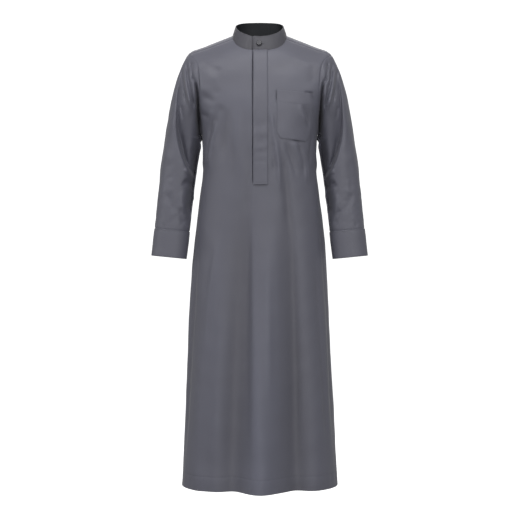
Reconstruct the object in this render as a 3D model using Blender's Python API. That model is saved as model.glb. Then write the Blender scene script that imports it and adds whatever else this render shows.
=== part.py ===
# A long-sleeved thobe: front, back, two sleeves with cuffs, a stand collar with one button,
# a covered front opening and a chest pocket. Every piece is a wall of cloth of its real thickness.
# Metres. +X is the wearer's left, the front faces -Y, +Z is up.
# The origin is at the base of the neck, between the shoulders.
import math

import bpy
import numpy as np

CLOTH = 0.0016
BAND = 0.0024
STRIP = 0.0018
SEAM_GAP = 0.0003
LYING_GAP = 0.0007

HEM_TURN = 0.0008
UNDERARM_Z = -0.305
BODY_POWER = 2.4
SHOULDER_DROP_RUN = 0.2

NECK_HALF_WIDTH = 0.0815
NECK_FRONT_DROP = 0.059
NECK_POWER = 2.5
NECK_BACK_ANGLE = 0.49
SEAM_AT_NECK = (0.0798, -0.0181)
SEAM_AT_ARM = (0.2185, -0.0655)

SLOT_LEFT = -0.0135
SLOT_RIGHT = 0.0195
PLACKET_LEFT = -0.0182
PLACKET_RIGHT = 0.0249
PLACKET_FOOT = -0.4612
BUTTON_STAND_LEFT = -0.0185
BUTTON_STAND_RIGHT = 0.0165
BUTTON_STAND_FOOT = -0.455

COLLAR_END = -0.0203
COLLAR_UNDER_END = 0.018
COLLAR_RAISE = 0.0013

CUFF_DEPTH = 0.082
ARM_TILT = math.radians(5.7)

BUTTON_RADIUS = 0.0086
BUTTON_THICK = 0.0030
BUTTON_HOLE_RADIUS = 0.0010
BUTTON_HOLE_SPREAD = 0.0019
BUTTON_AT = (-0.0012, -0.0371)

SIDE_COLUMNS = 15
NECK_COLUMNS = 6
FRONT_ARM_ROWS = 10
BACK_ARM_ROWS = 12
STRIP_ROWS = 2
CAP_RINGS = 8
CHARCOAL = (0.105, 0.107, 0.128)

# height, half_width, front_depth, back_depth
BODY = (
    (-1.3735, 0.2384, 0.137, 0.144),
    (-1.302, 0.2339, 0.130, 0.139),
    (-1.179, 0.2256, 0.127, 0.134),
    (-1.056, 0.2192, 0.125, 0.130),
    (-0.933, 0.2131, 0.123, 0.126),
    (-0.811, 0.2069, 0.122, 0.122),
    (-0.688, 0.1986, 0.122, 0.119),
    (-0.565, 0.1888, 0.123, 0.117),
    (-0.473, 0.1793, 0.125, 0.117),
    (-0.427, 0.1738, 0.127, 0.119),
    (-0.396, 0.1722, 0.129, 0.121),
    (-0.335, 0.1744, 0.131, 0.125),
    (-0.305, 0.1768, 0.132, 0.127),
    (-0.250, 0.1900, 0.131, 0.130),
    (-0.200, 0.2120, 0.128, 0.131),
    (-0.150, 0.2350, 0.122, 0.129),
    (-0.100, 0.2600, 0.113, 0.125),
    (-0.050, 0.2860, 0.101, 0.120),
    (0.040, 0.3200, 0.088, 0.114),
)

# from_centre, height, forward, drop
RIDGE = (
    (0.0000, 0.0260, 0.0120, 0.160),
    (0.0300, 0.0215, 0.0118, 0.158),
    (0.0600, 0.0100, 0.0110, 0.154),
    (0.0845, 0.0000, 0.0100, 0.150),
    (0.1145, -0.0123, 0.0080, 0.145),
    (0.1450, -0.0246, 0.0060, 0.140),
    (0.1744, -0.0368, 0.0040, 0.132),
    (0.1916, -0.0430, 0.0020, 0.125),
    (0.2011, -0.0461, 0.0010, 0.120),
    (0.2131, -0.0537, 0.0000, 0.114),
    (0.2210, -0.0605, 0.0000, 0.110),
    (0.2400, -0.0780, 0.0000, 0.104),
)

# from_centre, height: the front armhole seam from the underarm up
FRONT_ARMHOLE = (
    (0.1768, -0.3050),
    (0.1752, -0.2900),
    (0.1745, -0.2600),
    (0.1748, -0.2300),
    (0.1760, -0.1950),
    (0.1788, -0.1550),
    (0.1832, -0.1200),
    (0.1905, -0.0930),
    (0.2020, -0.0765),
    (0.2185, -0.0655),
)

# from_centre, height: the back armhole seam from the underarm up to the ridge
BACK_ARMHOLE = (
    (0.1768, -0.3050),
    (0.1765, -0.2850),
    (0.1775, -0.2500),
    (0.1800, -0.2100),
    (0.1830, -0.1700),
    (0.1875, -0.1300),
    (0.1960, -0.0950),
    (0.2085, -0.0700),
    (0.2195, -0.0594),
)

# angle from the front in degrees, from_centre, forward, height: the collar's upper edge
COLLAR_RIM = (
    (0.0, 0.0000, -0.0675, -0.0149),
    (25.0, 0.0300, -0.0620, -0.0105),
    (45.0, 0.0512, -0.0510, -0.0017),
    (63.0, 0.0645, -0.0370, 0.0090),
    (80.0, 0.0710, -0.0190, 0.0195),
    (95.0, 0.0724, -0.0020, 0.0290),
    (118.0, 0.0640, 0.0330, 0.0425),
    (140.0, 0.0467, 0.0500, 0.0490),
    (160.0, 0.0250, 0.0580, 0.0518),
    (180.0, 0.0000, 0.0600, 0.0527),
)

# height, axis_from_centre, axis_forward, half_width, half_depth
ARM = (
    (-0.3346, 0.2350, 0.0010, 0.0553, 0.0660),
    (-0.3807, 0.2430, 0.0000, 0.0548, 0.0640),
    (-0.4421, 0.2511, -0.0020, 0.0541, 0.0590),
    (-0.5035, 0.2578, -0.0060, 0.0538, 0.0530),
    (-0.5649, 0.2640, -0.0110, 0.0533, 0.0460),
    (-0.5970, 0.2672, -0.0140, 0.0530, 0.0430),
    (-0.6263, 0.2703, -0.0170, 0.0533, 0.0410),
    (-0.6790, 0.2762, -0.0220, 0.0530, 0.0390),
)

# across at the top, height of the top, across at the foot, height of the foot,
# half_width at the top, half_width at the foot, rise at the top, rise at the foot
FRONT_FOLDS = (
    (0.000, -0.52, 0.003, -1.3735, 0.028, 0.054, 0.000, 0.043),
    (-0.045, -0.50, -0.066, -1.3735, 0.022, 0.030, 0.000, -0.016),
    (0.072, -0.36, 0.091, -1.3735, 0.020, 0.034, 0.000, -0.019),
    (-0.098, -0.62, -0.112, -1.3735, 0.016, 0.021, 0.000, 0.008),
    (-0.150, -0.55, -0.172, -1.3735, 0.018, 0.026, 0.000, 0.010),
    (0.120, -0.50, 0.160, -1.3735, 0.020, 0.034, 0.000, 0.012),
)

BACK_FOLDS = (
    (0.015, -0.45, 0.030, -1.3735, 0.030, 0.050, 0.000, 0.022),
    (-0.050, -0.35, -0.060, -1.3735, 0.022, 0.034, -0.002, -0.020),
    (0.085, -0.40, 0.112, -1.3735, 0.020, 0.032, 0.000, -0.017),
    (-0.105, -0.50, -0.135, -1.3735, 0.020, 0.036, 0.000, 0.014),
    (0.135, -0.55, 0.178, -1.3735, 0.018, 0.028, 0.000, 0.009),
)

# height and angle (degrees, 0 at the outer side, 90 at the front) at the start and the end, half_width, rise
SLEEVE_FOLDS = (
    (-0.150, 118.0, -0.330, 136.0, 0.012, -0.006),
    (-0.140, 98.0, -0.290, 104.0, 0.014, 0.005),
    (-0.200, 84.0, -0.440, 112.0, 0.016, -0.007),
    (-0.210, 62.0, -0.420, 70.0, 0.020, 0.005),
    (-0.420, 108.0, -0.442, 150.0, 0.011, 0.004),
    (-0.458, 128.0, -0.476, 168.0, 0.011, -0.008),
    (-0.480, 80.0, -0.500, 150.0, 0.011, 0.005),
    (-0.500, 125.0, -0.545, 160.0, 0.012, -0.007),
    (-0.505, 60.0, -0.550, 20.0, 0.012, -0.005),
    (-0.430, 260.0, -0.480, 215.0, 0.014, -0.006),
    (-0.520, 275.0, -0.555, 222.0, 0.014, -0.005),
    (-0.230, 262.0, -0.420, 240.0, 0.018, -0.006),
)

# across, height: the pocket's outline from the opening's inner corner round
POCKET_OUTLINE = (
    (0.0507, -0.1856),
    (0.0515, -0.3104),
    (0.0615, -0.3272),
    (0.1370, -0.3341),
    (0.1512, -0.3080),
    (0.1560, -0.1939),
)
POCKET_BAND = 0.037
POCKET_GAPE = 0.002

SKIRT_ROWS = (
    -1.3735, -1.3315, -1.3275, -1.262, -1.196, -1.130, -1.060, -0.990, -0.920, -0.850,
    -0.780, -0.715, -0.655, -0.600, -0.552, -0.506, PLACKET_FOOT, -0.422, -0.384, -0.345,
)


def smooth(x, xs, ys):
    """A curve through the table's points, with no overshoot at its ends."""
    xs = np.asarray(xs, float)
    ys = np.asarray(ys, float)
    x = np.clip(np.asarray(x, float), xs[0], xs[-1])
    slopes = np.diff(ys) / np.diff(xs)
    tangents = np.concatenate([slopes[:1], (slopes[1:] + slopes[:-1]) / 2, slopes[-1:]])
    flat = np.concatenate([[False], slopes[1:] * slopes[:-1] <= 0, [False]])
    tangents[flat] = 0
    i = np.clip(np.searchsorted(xs, x, side="right") - 1, 0, len(xs) - 2)
    step = xs[i + 1] - xs[i]
    t = (x - xs[i]) / step
    near = (1 + 2 * t) * (1 - t) ** 2 * ys[i] + t * (1 - t) ** 2 * step * tangents[i]
    return near + t * t * (3 - 2 * t) * ys[i + 1] + t * t * (t - 1) * step * tangents[i + 1]


def column(table, key, value, k):
    rows = sorted(table, key=lambda row: row[key])
    return smooth(value, [row[key] for row in rows], [row[k] for row in rows])


def half_width(z):
    return column(BODY, 0, z, 1)


def depth_at(x, z, side):
    """Depth of the body from its centre plane; side is -1 in front and 1 behind."""
    share = np.clip(np.abs(x) / half_width(z), 0, 1)
    full = np.where(side < 0, column(BODY, 0, z, 2), column(BODY, 0, z, 3))
    return full * (1 - share ** BODY_POWER) ** (1 / BODY_POWER)


def ridge(x, k):
    return column(RIDGE, 0, np.abs(x), k)


def bump(distance, half):
    return np.exp(-((distance / half) ** 2))


def rise_at(x, z, folds):
    total = np.zeros(np.broadcast(x, z).shape)
    for x0, z0, x1, z1, half0, half1, rise0, rise1 in folds:
        t = (z0 - z) / (z0 - z1)
        inside = np.clip(t, 0, 1)
        ends = np.clip(1 + np.minimum(t, 0) * 8, 0, 1) * np.clip(1 + np.minimum(1 - t, 0) * 8, 0, 1)
        rise = rise0 + (rise1 - rise0) * inside ** 1.3
        total += rise * ends * bump(x - (x0 + (x1 - x0) * inside), half0 + (half1 - half0) * inside)
    return total


def body_point(x, z, side, over=None):
    """A point of the body's middle surface. over is the angle over the shoulder, worked out where it isn't given."""
    x, z, side = np.broadcast_arrays(np.asarray(x, float), np.asarray(z, float), np.asarray(side, float))
    top = ridge(x, 1)
    if over is None:
        drop = np.clip((top - z) / ridge(x, 3), 0, 1)
        sine = np.sqrt(1 - (1 - drop) ** 2)
    else:
        sine = np.sin(over)
    lean = np.clip((z - UNDERARM_Z) / (top - UNDERARM_Z), 0, 1)
    share = np.clip(np.abs(x) / half_width(z), 0, 1)
    depth = depth_at(x, z, side) * sine
    folds = np.where(side < 0, rise_at(x, z, FRONT_FOLDS), rise_at(x, z, BACK_FOLDS))
    folds = folds * np.clip((1 - share) * 9, 0, 1)
    out_x = np.sign(x) * share ** (BODY_POWER - 1) * 0.6
    out_y = side * (1 - share ** BODY_POWER) ** 0.5
    length = np.maximum(np.hypot(out_x, out_y), 1e-6)
    return np.stack(
        [x + folds * out_x / length, ridge(x, 2) * lean + side * depth + folds * out_y / length, z], axis=-1
    )


def level_of(x, z):
    """How far down a point lies from the ridge: 0 at the ridge, 1 where the shoulder's curve ends."""
    drop = (ridge(x, 1) - z) / ridge(x, 3)
    over = np.arccos(np.clip(1 - drop, 0, 1)) / (math.pi / 2)
    return np.where(drop < 1, over, 1 + (ridge(x, 1) - ridge(x, 3) - z) / SHOULDER_DROP_RUN)


def share_angle(x, z):
    return np.arcsin(np.clip(np.abs(x) / half_width(z), 0, 1) ** (BODY_POWER / 2))


def upper_point(angle, level, hand):
    """A point of the upper body from its angle round the section and its signed level (front below 0)."""
    down = np.abs(level)
    over = np.minimum(down, 1) * math.pi / 2
    x = np.full(np.shape(angle), 0.1)
    for _ in range(40):
        z = ridge(x, 1) - ridge(x, 3) * (1 - np.cos(over)) - np.maximum(down - 1, 0) * SHOULDER_DROP_RUN
        x = 0.5 * x + 0.5 * half_width(z) * np.sin(angle) ** (2 / BODY_POWER)
    return body_point(hand * x, z, np.where(level < 0, -1, 1), over)


def along(points, count):
    """Evenly spaced points along a line of points."""
    points = np.asarray(points, float)
    run = np.concatenate([[0], np.cumsum(np.linalg.norm(np.diff(points, axis=0), axis=1))])
    at = np.linspace(0, run[-1], count)
    return np.stack([np.interp(at, run, points[:, k]) for k in range(points.shape[1])], axis=1)


def smooth_line(rows, count):
    """The table's points as an even, smooth line."""
    rows = np.asarray(rows, float)
    run = np.concatenate([[0], np.cumsum(np.linalg.norm(np.diff(rows, axis=0), axis=1))])
    fine = np.linspace(0, run[-1], 400)
    return along(np.stack([smooth(fine, run, rows[:, k]) for k in range(rows.shape[1])], axis=1), count)


def neck_front(angle):
    """The neckline in front: from_centre and height at an angle from the centre front."""
    x = NECK_HALF_WIDTH * np.sin(angle) ** (2 / NECK_POWER)
    return x, -NECK_FRONT_DROP * np.cos(angle) ** (2 / NECK_POWER)


def neck_back(angle):
    """The neckline behind: from_centre and signed level at an angle from the centre back."""
    return NECK_HALF_WIDTH * np.sin(angle), NECK_BACK_ANGLE / (math.pi / 2) * np.cos(angle)


def patch(inner, outer, foot, head):
    """A grid filled in from its four edges, each a line of (angle, level)."""
    rows, columns = len(inner), len(foot)
    v = np.linspace(0, 1, rows)[:, None, None]
    u = np.linspace(0, 1, columns)[None, :, None]
    sides = (1 - u) * inner[:, None] + u * outer[:, None]
    ends = (1 - v) * foot[None] + v * head[None]
    corners = (1 - v) * ((1 - u) * foot[0] + u * foot[-1]) + v * ((1 - u) * head[0] + u * head[-1])
    return sides + ends - corners


def to_angles(x, z, sign):
    return np.stack([share_angle(x, z), sign * level_of(x, z)], axis=1)


def seam_line():
    """The forward shoulder seam, from the neck to the armhole: from_centre and height."""
    (x0, z0), (x1, z1) = SEAM_AT_NECK, SEAM_AT_ARM
    t = np.linspace(0, 1, SIDE_COLUMNS - NECK_COLUMNS + 1)
    return x0 + (x1 - x0) * t, z0 + (z1 - z0) * t - 0.0015 * np.sin(math.pi * t)


def foot_angles(edge):
    start = share_angle(abs(edge), UNDERARM_Z)
    return start + (math.pi / 2 - start) * np.linspace(0, 1, SIDE_COLUMNS + 1)


def front_half(edge, hand):
    """Half of the front above the underarm, from the slot's edge out to the armhole."""
    angles = foot_angles(edge)
    foot_x = half_width(UNDERARM_Z) * np.sin(angles) ** (2 / BODY_POWER)
    foot = np.stack([angles, -level_of(foot_x, UNDERARM_Z)], axis=1)
    start = math.asin((abs(edge) / NECK_HALF_WIDTH) ** (NECK_POWER / 2))
    stop = math.asin((SEAM_AT_NECK[0] / NECK_HALF_WIDTH) ** (NECK_POWER / 2))
    neck = np.stack(neck_front(np.linspace(start, stop, 60)), axis=1)
    neck = along(neck, NECK_COLUMNS + 1)
    seam_x, seam_z = seam_line()
    head_x = np.concatenate([neck[:, 0], seam_x[1:]])
    head_z = np.concatenate([neck[:, 1], seam_z[1:]])
    head = to_angles(head_x, head_z, -1)
    arm = smooth_line(FRONT_ARMHOLE, FRONT_ARM_ROWS + 1)
    outer = to_angles(arm[:, 0], arm[:, 1], -1)
    inner_z = np.linspace(UNDERARM_Z, head_z[0], FRONT_ARM_ROWS + 1)
    inner = to_angles(np.full(len(inner_z), abs(edge)), inner_z, -1)
    grid = patch(inner, outer, foot, head)
    points = upper_point(grid[..., 0], grid[..., 1], hand)
    points[:, 0, 0] = edge
    return points


def back_half(hand):
    """Half of the back above the underarm: up to the neckline and the ridge, then over it to the seam."""
    angles = foot_angles(0.0)
    foot_x = half_width(UNDERARM_Z) * np.sin(angles) ** (2 / BODY_POWER)
    foot = np.stack([angles, level_of(foot_x, UNDERARM_Z)], axis=1)
    neck_x, neck_level = neck_back(np.linspace(0, math.pi / 2, NECK_COLUMNS + 1))
    seam_x, seam_z = seam_line()
    ridge_x = np.linspace(NECK_HALF_WIDTH, BACK_ARMHOLE[-1][0], len(seam_x))
    head_x = np.concatenate([neck_x, ridge_x[1:]])
    levels = np.concatenate([neck_level, np.zeros(len(ridge_x) - 1)])
    head_z = ridge(head_x, 1) - ridge(head_x, 3) * (1 - np.cos(levels * math.pi / 2))
    head = np.stack([share_angle(head_x, head_z), levels], axis=1)
    arm = np.asarray(BACK_ARMHOLE)
    line = np.stack([share_angle(arm[:, 0], arm[:, 1]), level_of(arm[:, 0], arm[:, 1])], axis=1)
    line[-1] = head[-1]
    points = upper_point(line[:, 0], line[:, 1], 1)
    run = np.concatenate([[0], np.cumsum(np.linalg.norm(np.diff(points, axis=0), axis=1))])
    at = np.linspace(0, run[-1], BACK_ARM_ROWS + 1)
    outer = np.stack([smooth(at, run, line[:, k]) for k in range(2)], axis=1)
    inner = np.stack([np.zeros(len(at)), np.linspace(foot[0, 1], head[0, 1], len(at))], axis=1)
    grid = patch(inner, outer, foot, head)
    lower = upper_point(grid[..., 0], grid[..., 1], hand)
    lower[:, 0, 0] = 0.0
    seam = to_angles(seam_x, seam_z, -1)
    shares = np.linspace(0, 1, STRIP_ROWS + 1)[:, None, None]
    grid = head[None, NECK_COLUMNS:] * (1 - shares) + seam[None] * shares
    fine = np.linspace(math.pi / 2, math.asin((SEAM_AT_NECK[0] / NECK_HALF_WIDTH) ** (NECK_POWER / 2)), 40)
    neck = to_angles(*neck_front(fine), -1)
    neck[0, 1] = 0.0
    grid[1:-1, 0, 0] = np.interp(-grid[1:-1, 0, 1], -neck[:, 1], neck[:, 0])
    return lower, upper_point(grid[..., 0], grid[..., 1], hand)


def lower_half(edge, hand, side):
    """Half of the body below the underarm, from the hem up, from an upright edge out to the side seam."""
    rows = []
    for z in SKIRT_ROWS:
        start = share_angle(abs(edge), z)
        angles = start + (math.pi / 2 - start) * np.linspace(0, 1, SIDE_COLUMNS + 1)
        x = hand * half_width(z) * np.sin(angles) ** (2 / BODY_POWER)
        rows.append(body_point(x, z, side))
    return np.stack(rows)


def joined(left, right, share_middle):
    """Both halves as one grid from -X to +X."""
    return np.concatenate([left[:, ::-1], right[:, 1:] if share_middle else right], axis=1)


def front_panel():
    grid = np.concatenate(
        [
            joined(lower_half(SLOT_LEFT, -1, -1), lower_half(SLOT_RIGHT, 1, -1), False),
            joined(front_half(SLOT_LEFT, -1), front_half(SLOT_RIGHT, 1), False),
        ]
    )
    keep = np.ones((grid.shape[0] - 1, grid.shape[1] - 1), bool)
    keep[SKIRT_ROWS.index(PLACKET_FOOT):, SIDE_COLUMNS] = False
    return grid, normals_of(grid, False, False), keep


def back_panel():
    """The back's grid. Its last rows go over the shoulders, with no cloth between them at the neck."""
    (left, left_strip), (right, right_strip) = back_half(-1), back_half(1)
    main = np.concatenate(
        [joined(lower_half(0.0, -1, 1), lower_half(0.0, 1, 1), True), joined(left, right, True)]
    )
    rows, columns = main.shape[:2]
    wide = SIDE_COLUMNS - NECK_COLUMNS + 1
    grid = np.concatenate([main, np.zeros((STRIP_ROWS, columns, 3))])
    normals = np.concatenate([normals_of(main, False, True), np.zeros((STRIP_ROWS, columns, 3))])
    keep = np.ones((rows + STRIP_ROWS - 1, columns - 1), bool)
    keep[rows - 1:, wide - 1:columns - wide] = False
    for part, strip in ((slice(0, wide), left_strip[:, ::-1]), (slice(columns - wide, columns), right_strip)):
        grid[rows:, part] = strip[1:]
        block = normals_of(grid[rows - 2:, part], False, True)
        normals[rows - 1:, part] = block[1:]
    return grid, normals, keep


def normals_of(points, closed, flip):
    """The outward direction at each point of a grid."""
    if closed:
        wide = np.concatenate([points[:, -1:], points, points[:, :1]], axis=1)
        across = (wide[:, 2:] - wide[:, :-2]) / 2
    else:
        across = np.gradient(points, axis=1)
    up = np.gradient(points, axis=0)
    normals = np.cross(across, up) * (-1 if flip else 1)
    return normals / np.maximum(np.linalg.norm(normals, axis=2, keepdims=True), 1e-12)


def share_normals(grids):
    """Where pieces meet at a seam, both get the mean of their directions."""
    found = {}
    for points, normals in grids:
        for key in zip(*np.nonzero(np.abs(normals).sum(2))):
            place = tuple(np.round(points[key] * 1e5).astype(int))
            found.setdefault(place, []).append((normals, key, normals[key].copy()))
    for meeting in found.values():
        if len(meeting) > 1:
            mean = sum(direction for _, _, direction in meeting)
            mean = mean / np.linalg.norm(mean)
            for normals, key, direction in meeting:
                normals[key] = mean / max(float(mean @ direction), 0.72)


def pull_in(points, normals, edges, gap):
    """Draws the named edges back along the cloth, so that the pieces of a seam don't touch."""
    moved = points.copy()
    for edge in edges:
        near, far = {"foot": (0, 1), "head": (-1, -2), "start": (0, 1), "end": (-1, -2)}[edge]
        if edge in ("foot", "head"):
            step, normal = points[far] - points[near], normals[near]
        else:
            step, normal = points[:, far] - points[:, near], normals[:, near]
        normal = normal / np.maximum(np.linalg.norm(normal, axis=1, keepdims=True), 1e-9)
        step = step - (step * normal).sum(1, keepdims=True) * normal
        step = step / np.maximum(np.linalg.norm(step, axis=1, keepdims=True), 1e-9) * gap
        if edge in ("foot", "head"):
            moved[near] += step
        else:
            moved[:, near] += step
    return moved


def cloth_wall(points, normals, keep, outside, inside, closed, flip):
    """Vertices and faces of a wall about a grid: outside and inside are its reach to each side."""
    rows, columns = points.shape[:2]
    outer = points + normals * np.broadcast_to(outside, (rows, columns))[..., None]
    inner = points - normals * np.broadcast_to(inside, (rows, columns))[..., None]
    vertices = np.concatenate([outer.reshape(-1, 3), inner.reshape(-1, 3)])
    count = rows * columns
    faces, edges = [], {}
    for r in range(rows - 1):
        for c in range(columns if closed else columns - 1):
            if not keep[r, c]:
                continue
            d = (c + 1) % columns
            loop = [r * columns + c, r * columns + d, (r + 1) * columns + d, (r + 1) * columns + c]
            if flip:
                loop.reverse()
            faces.append(loop)
            faces.append([i + count for i in reversed(loop)])
            for a, b in zip(loop, loop[1:] + loop[:1]):
                if (b, a) in edges:
                    del edges[(b, a)]
                else:
                    edges[(a, b)] = True
    for a, b in edges:
        faces.append([b, a, a + count, b + count])
    used = sorted({i for face in faces for i in face})
    place = {old: new for new, old in enumerate(used)}
    return vertices[used], [[place[i] for i in face] for face in faces]


def material_for(name, colour, roughness):
    material = bpy.data.materials.new(name + "_cloth")
    material.use_nodes = True
    shader = material.node_tree.nodes["Principled BSDF"]
    shader.inputs["Base Color"].default_value = (*colour, 1)
    shader.inputs["Roughness"].default_value = roughness
    shader.inputs["Metallic"].default_value = 0.0
    return material


def add_piece(name, vertices, faces, colour=CHARCOAL, roughness=0.85):
    mesh = bpy.data.meshes.new(name)
    mesh.from_pydata([tuple(v) for v in vertices], [], faces)
    mesh.update()
    mesh.shade_smooth()
    mesh.set_sharp_from_angle(angle=math.radians(40))
    mesh.materials.append(material_for(name, colour, roughness))
    piece = bpy.data.objects.new(name, mesh)
    bpy.context.scene.collection.objects.link(piece)
    return piece


def arm_ring(height, angles):
    """A ring of the sleeve round the arm's axis; the angle is 0 at the outer side and 90 degrees in front."""
    across, forward = column(ARM, 0, height, 1), column(ARM, 0, height, 2)
    half, depth = column(ARM, 0, height, 3), column(ARM, 0, height, 4)
    out = np.sign(np.cos(angles)) * np.abs(np.cos(angles)) ** 0.9 * half
    front = np.sign(np.sin(angles)) * np.abs(np.sin(angles)) ** 0.9 * depth
    x = across + out * math.cos(ARM_TILT)
    return np.stack([x, forward - front, height + out * math.sin(ARM_TILT)], axis=1)


def sleeve_rise(points, angles):
    total = np.zeros(len(points))
    turned = np.degrees(angles) % 360
    for z0, angle0, z1, angle1, half, rise in SLEEVE_FOLDS:
        a = np.stack([points[:, 2], 0.058 * np.radians(turned)], axis=1)
        start = np.array([z0, 0.058 * math.radians(angle0)])
        end = np.array([z1, 0.058 * math.radians(angle1)])
        run = end - start
        t = np.clip((a - start) @ run / (run @ run), 0, 1)
        distance = np.linalg.norm(a - start - t[:, None] * run, axis=1)
        total += rise * bump(distance, half) * (0.35 + 0.65 * np.sin(math.pi * np.clip(t, 0.12, 0.88)))
    return total


def sleeve_grid(loop, heights):
    """The sleeve on the wearer's left: rings from the armhole loop down to the cuff seam."""
    run = np.concatenate([[0], np.cumsum(np.linalg.norm(np.diff(np.concatenate([loop, loop[:1]]), axis=0), axis=1))])
    share = run[:-1] / run[-1]
    angles = math.pi - share * 2 * math.pi
    around = 2 * math.pi * share
    leave = np.stack(
        [0.75 + 0.25 * np.cos(around), -0.28 * np.sin(around), -0.435 + 0.435 * np.cos(around)], axis=1
    )
    leave /= np.linalg.norm(leave, axis=1, keepdims=True)
    arrive = np.array([math.sin(ARM_TILT) * 1.35, 0.0, -math.cos(ARM_TILT)])
    arrive /= np.linalg.norm(arrive)
    first = arm_ring(heights[0], angles)
    reach = np.maximum(np.linalg.norm(first - loop, axis=1)[:, None], 0.055)
    rings = []
    for t in np.linspace(0, 1, CAP_RINGS + 1)[:-1]:
        a, b = (1 + 2 * t) * (1 - t) ** 2, t * (1 - t) ** 2
        c, d = t * t * (3 - 2 * t), t * t * (t - 1)
        rings.append(a * loop + b * reach * leave + c * first + d * reach * arrive)
    rings += [arm_ring(height, angles) for height in heights]
    grid = np.stack(rings)
    normals = normals_of(grid, True, True)
    for r in range(1, len(grid)):
        fade = min(1.0, r / 3) * min(1.0, (len(grid) - 1 - r) / 2)
        grid[r] += normals[r] * (fade * sleeve_rise(grid[r], angles))[:, None]
    return grid, angles


def mirrored(grid):
    return grid * np.array([-1, 1, 1])


def build_body():
    front, front_normals, front_keep = front_panel()
    back, back_normals, back_keep = back_panel()
    left_loop = np.concatenate([front[len(SKIRT_ROWS):, -1], back[len(SKIRT_ROWS) + 1:-1, -1][::-1]])
    left, angles = sleeve_grid(left_loop, np.linspace(-0.338, -0.5965, 17))
    right = mirrored(left)
    left_normals = normals_of(left, True, True)
    right_normals = mirrored(left_normals)
    share_normals(
        [(front, front_normals), (back, back_normals), (left, left_normals), (right, right_normals)]
    )
    half = CLOTH / 2
    for name, grid, normals, flip, keep in (
        ("front", front, front_normals, False, front_keep),
        ("back", back, back_normals, True, back_keep),
    ):
        pulled = pull_in(grid, normals, ("head", "start", "end"), SEAM_GAP * 0.6)
        inside = np.full(grid.shape[:2], half)
        inside[:2] = half + HEM_TURN
        add_piece(name, *cloth_wall(pulled, normals, keep, half, inside, False, flip))
    for name, grid, normals, flip in (
        ("sleeve_left", left, left_normals, True),
        ("sleeve_right", right, right_normals, False),
    ):
        pulled = pull_in(grid, normals, ("foot",), SEAM_GAP * 2)
        keep = np.ones((grid.shape[0] - 1, grid.shape[1]), bool)
        add_piece(name, *cloth_wall(pulled, normals, keep, half, half, True, flip))
    return front, back, angles


def build_cuffs(angles):
    top = -0.5975
    cuff = np.stack([arm_ring(top - CUFF_DEPTH * t, angles) for t in (0.0, 0.04, 0.5, 0.96, 1.0)])
    for name, grid, flip in (("cuff_left", cuff, True), ("cuff_right", mirrored(cuff), False)):
        normals = normals_of(grid, True, flip)
        whole = np.ones((grid.shape[0] - 1, grid.shape[1]), bool)
        outside = np.array([0.0008, 0.0013, 0.0013, 0.0013, 0.0009])[:, None]
        add_piece(name, *cloth_wall(grid, normals, whole, outside, BAND / 2, True, flip))


def rim_point(angle):
    turned = (angle + math.pi) % (2 * math.pi) - math.pi
    degrees = math.degrees(abs(turned))
    x, y, z = (float(column(COLLAR_RIM, 0, degrees, k)) for k in (1, 2, 3))
    return np.array([math.copysign(x, turned), y, z])


def neck_edge(front, back):
    """The panels' corners along the neckline, each with its angle, from the centre front round by +X."""
    seam = SIDE_COLUMNS - NECK_COLUMNS
    row = len(SKIRT_ROWS) + BACK_ARM_ROWS
    far = back.shape[1] - 1 - seam
    points = [front[-1, c] for c in range(SIDE_COLUMNS + 1, SIDE_COLUMNS + NECK_COLUMNS + 2)]
    points += [back[r, far] for r in range(row + STRIP_ROWS - 1, row, -1)]
    points += [back[row, c] for c in range(far, seam - 1, -1)]
    points += [back[r, seam] for r in range(row + 1, row + STRIP_ROWS)]
    points += [front[-1, c] for c in range(seam, SIDE_COLUMNS + 1)]
    half = len(points) // 2
    angles = []
    for k, point in enumerate(points):
        share = min(1.0, abs(point[0]) / NECK_HALF_WIDTH)
        in_front = k <= NECK_COLUMNS + STRIP_ROWS or k >= len(points) - 1 - NECK_COLUMNS - STRIP_ROWS
        angle = math.asin(share ** (NECK_POWER / 2)) if in_front else math.pi - math.asin(share)
        angles.append(angle if k <= half else 2 * math.pi - angle)
    return np.array(angles), np.array(points)


def collar_grid(front, back):
    """The collar's middle surface, from its over end round to the under end behind it."""
    at, points = neck_edge(front, back)
    over_end = math.asin((abs(COLLAR_END) / NECK_HALF_WIDTH) ** (NECK_POWER / 2))
    under_end = math.asin((COLLAR_UNDER_END / NECK_HALF_WIDTH) ** (NECK_POWER / 2))
    marks = np.concatenate([[-over_end, -over_end / 2, 0.0], at, [2 * math.pi, 2 * math.pi + under_end]])
    marks = marks[np.concatenate([[True], np.diff(marks) > 0.02])]
    angles = np.sort(np.concatenate([marks, (marks[1:] + marks[:-1]) / 2]))
    closed_at = np.concatenate([at[-2:] - 2 * math.pi, [0.0], at, [2 * math.pi], at[:2] + 2 * math.pi])
    centre = body_point(np.zeros(1), -NECK_FRONT_DROP, -1)
    closed = np.concatenate([points[-2:], centre, points, centre, points[:2]])
    foot = np.stack([np.interp(angles, closed_at, closed[:, k]) for k in range(3)], axis=1)
    rim = np.array([rim_point(a) for a in angles])
    rise = (rim - foot) / np.linalg.norm(rim - foot, axis=1, keepdims=True)
    foot = foot + rise * COLLAR_RAISE
    grid = np.stack([foot + (rim - foot) * s for s in (0.0, 0.25, 0.5, 0.75, 1.0)])
    normals = normals_of(grid, False, False)
    under = np.clip((angles - (2 * math.pi - over_end - 0.35)) / 0.2, 0, 1)
    under = under * under * (3 - 2 * under)
    return grid - normals * (under * (BAND + SEAM_GAP + 0.0002))[None, :, None]


def build_collar(grid):
    shape = grid.copy()
    shape[-1, 0] += (shape[-2, 0] - shape[-1, 0]) * 0.35
    keep = np.ones((shape.shape[0] - 1, shape.shape[1] - 1), bool)
    normals = normals_of(shape, False, False)
    add_piece("collar", *cloth_wall(shape, normals, keep, BAND / 2, BAND / 2, False, False))


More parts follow.
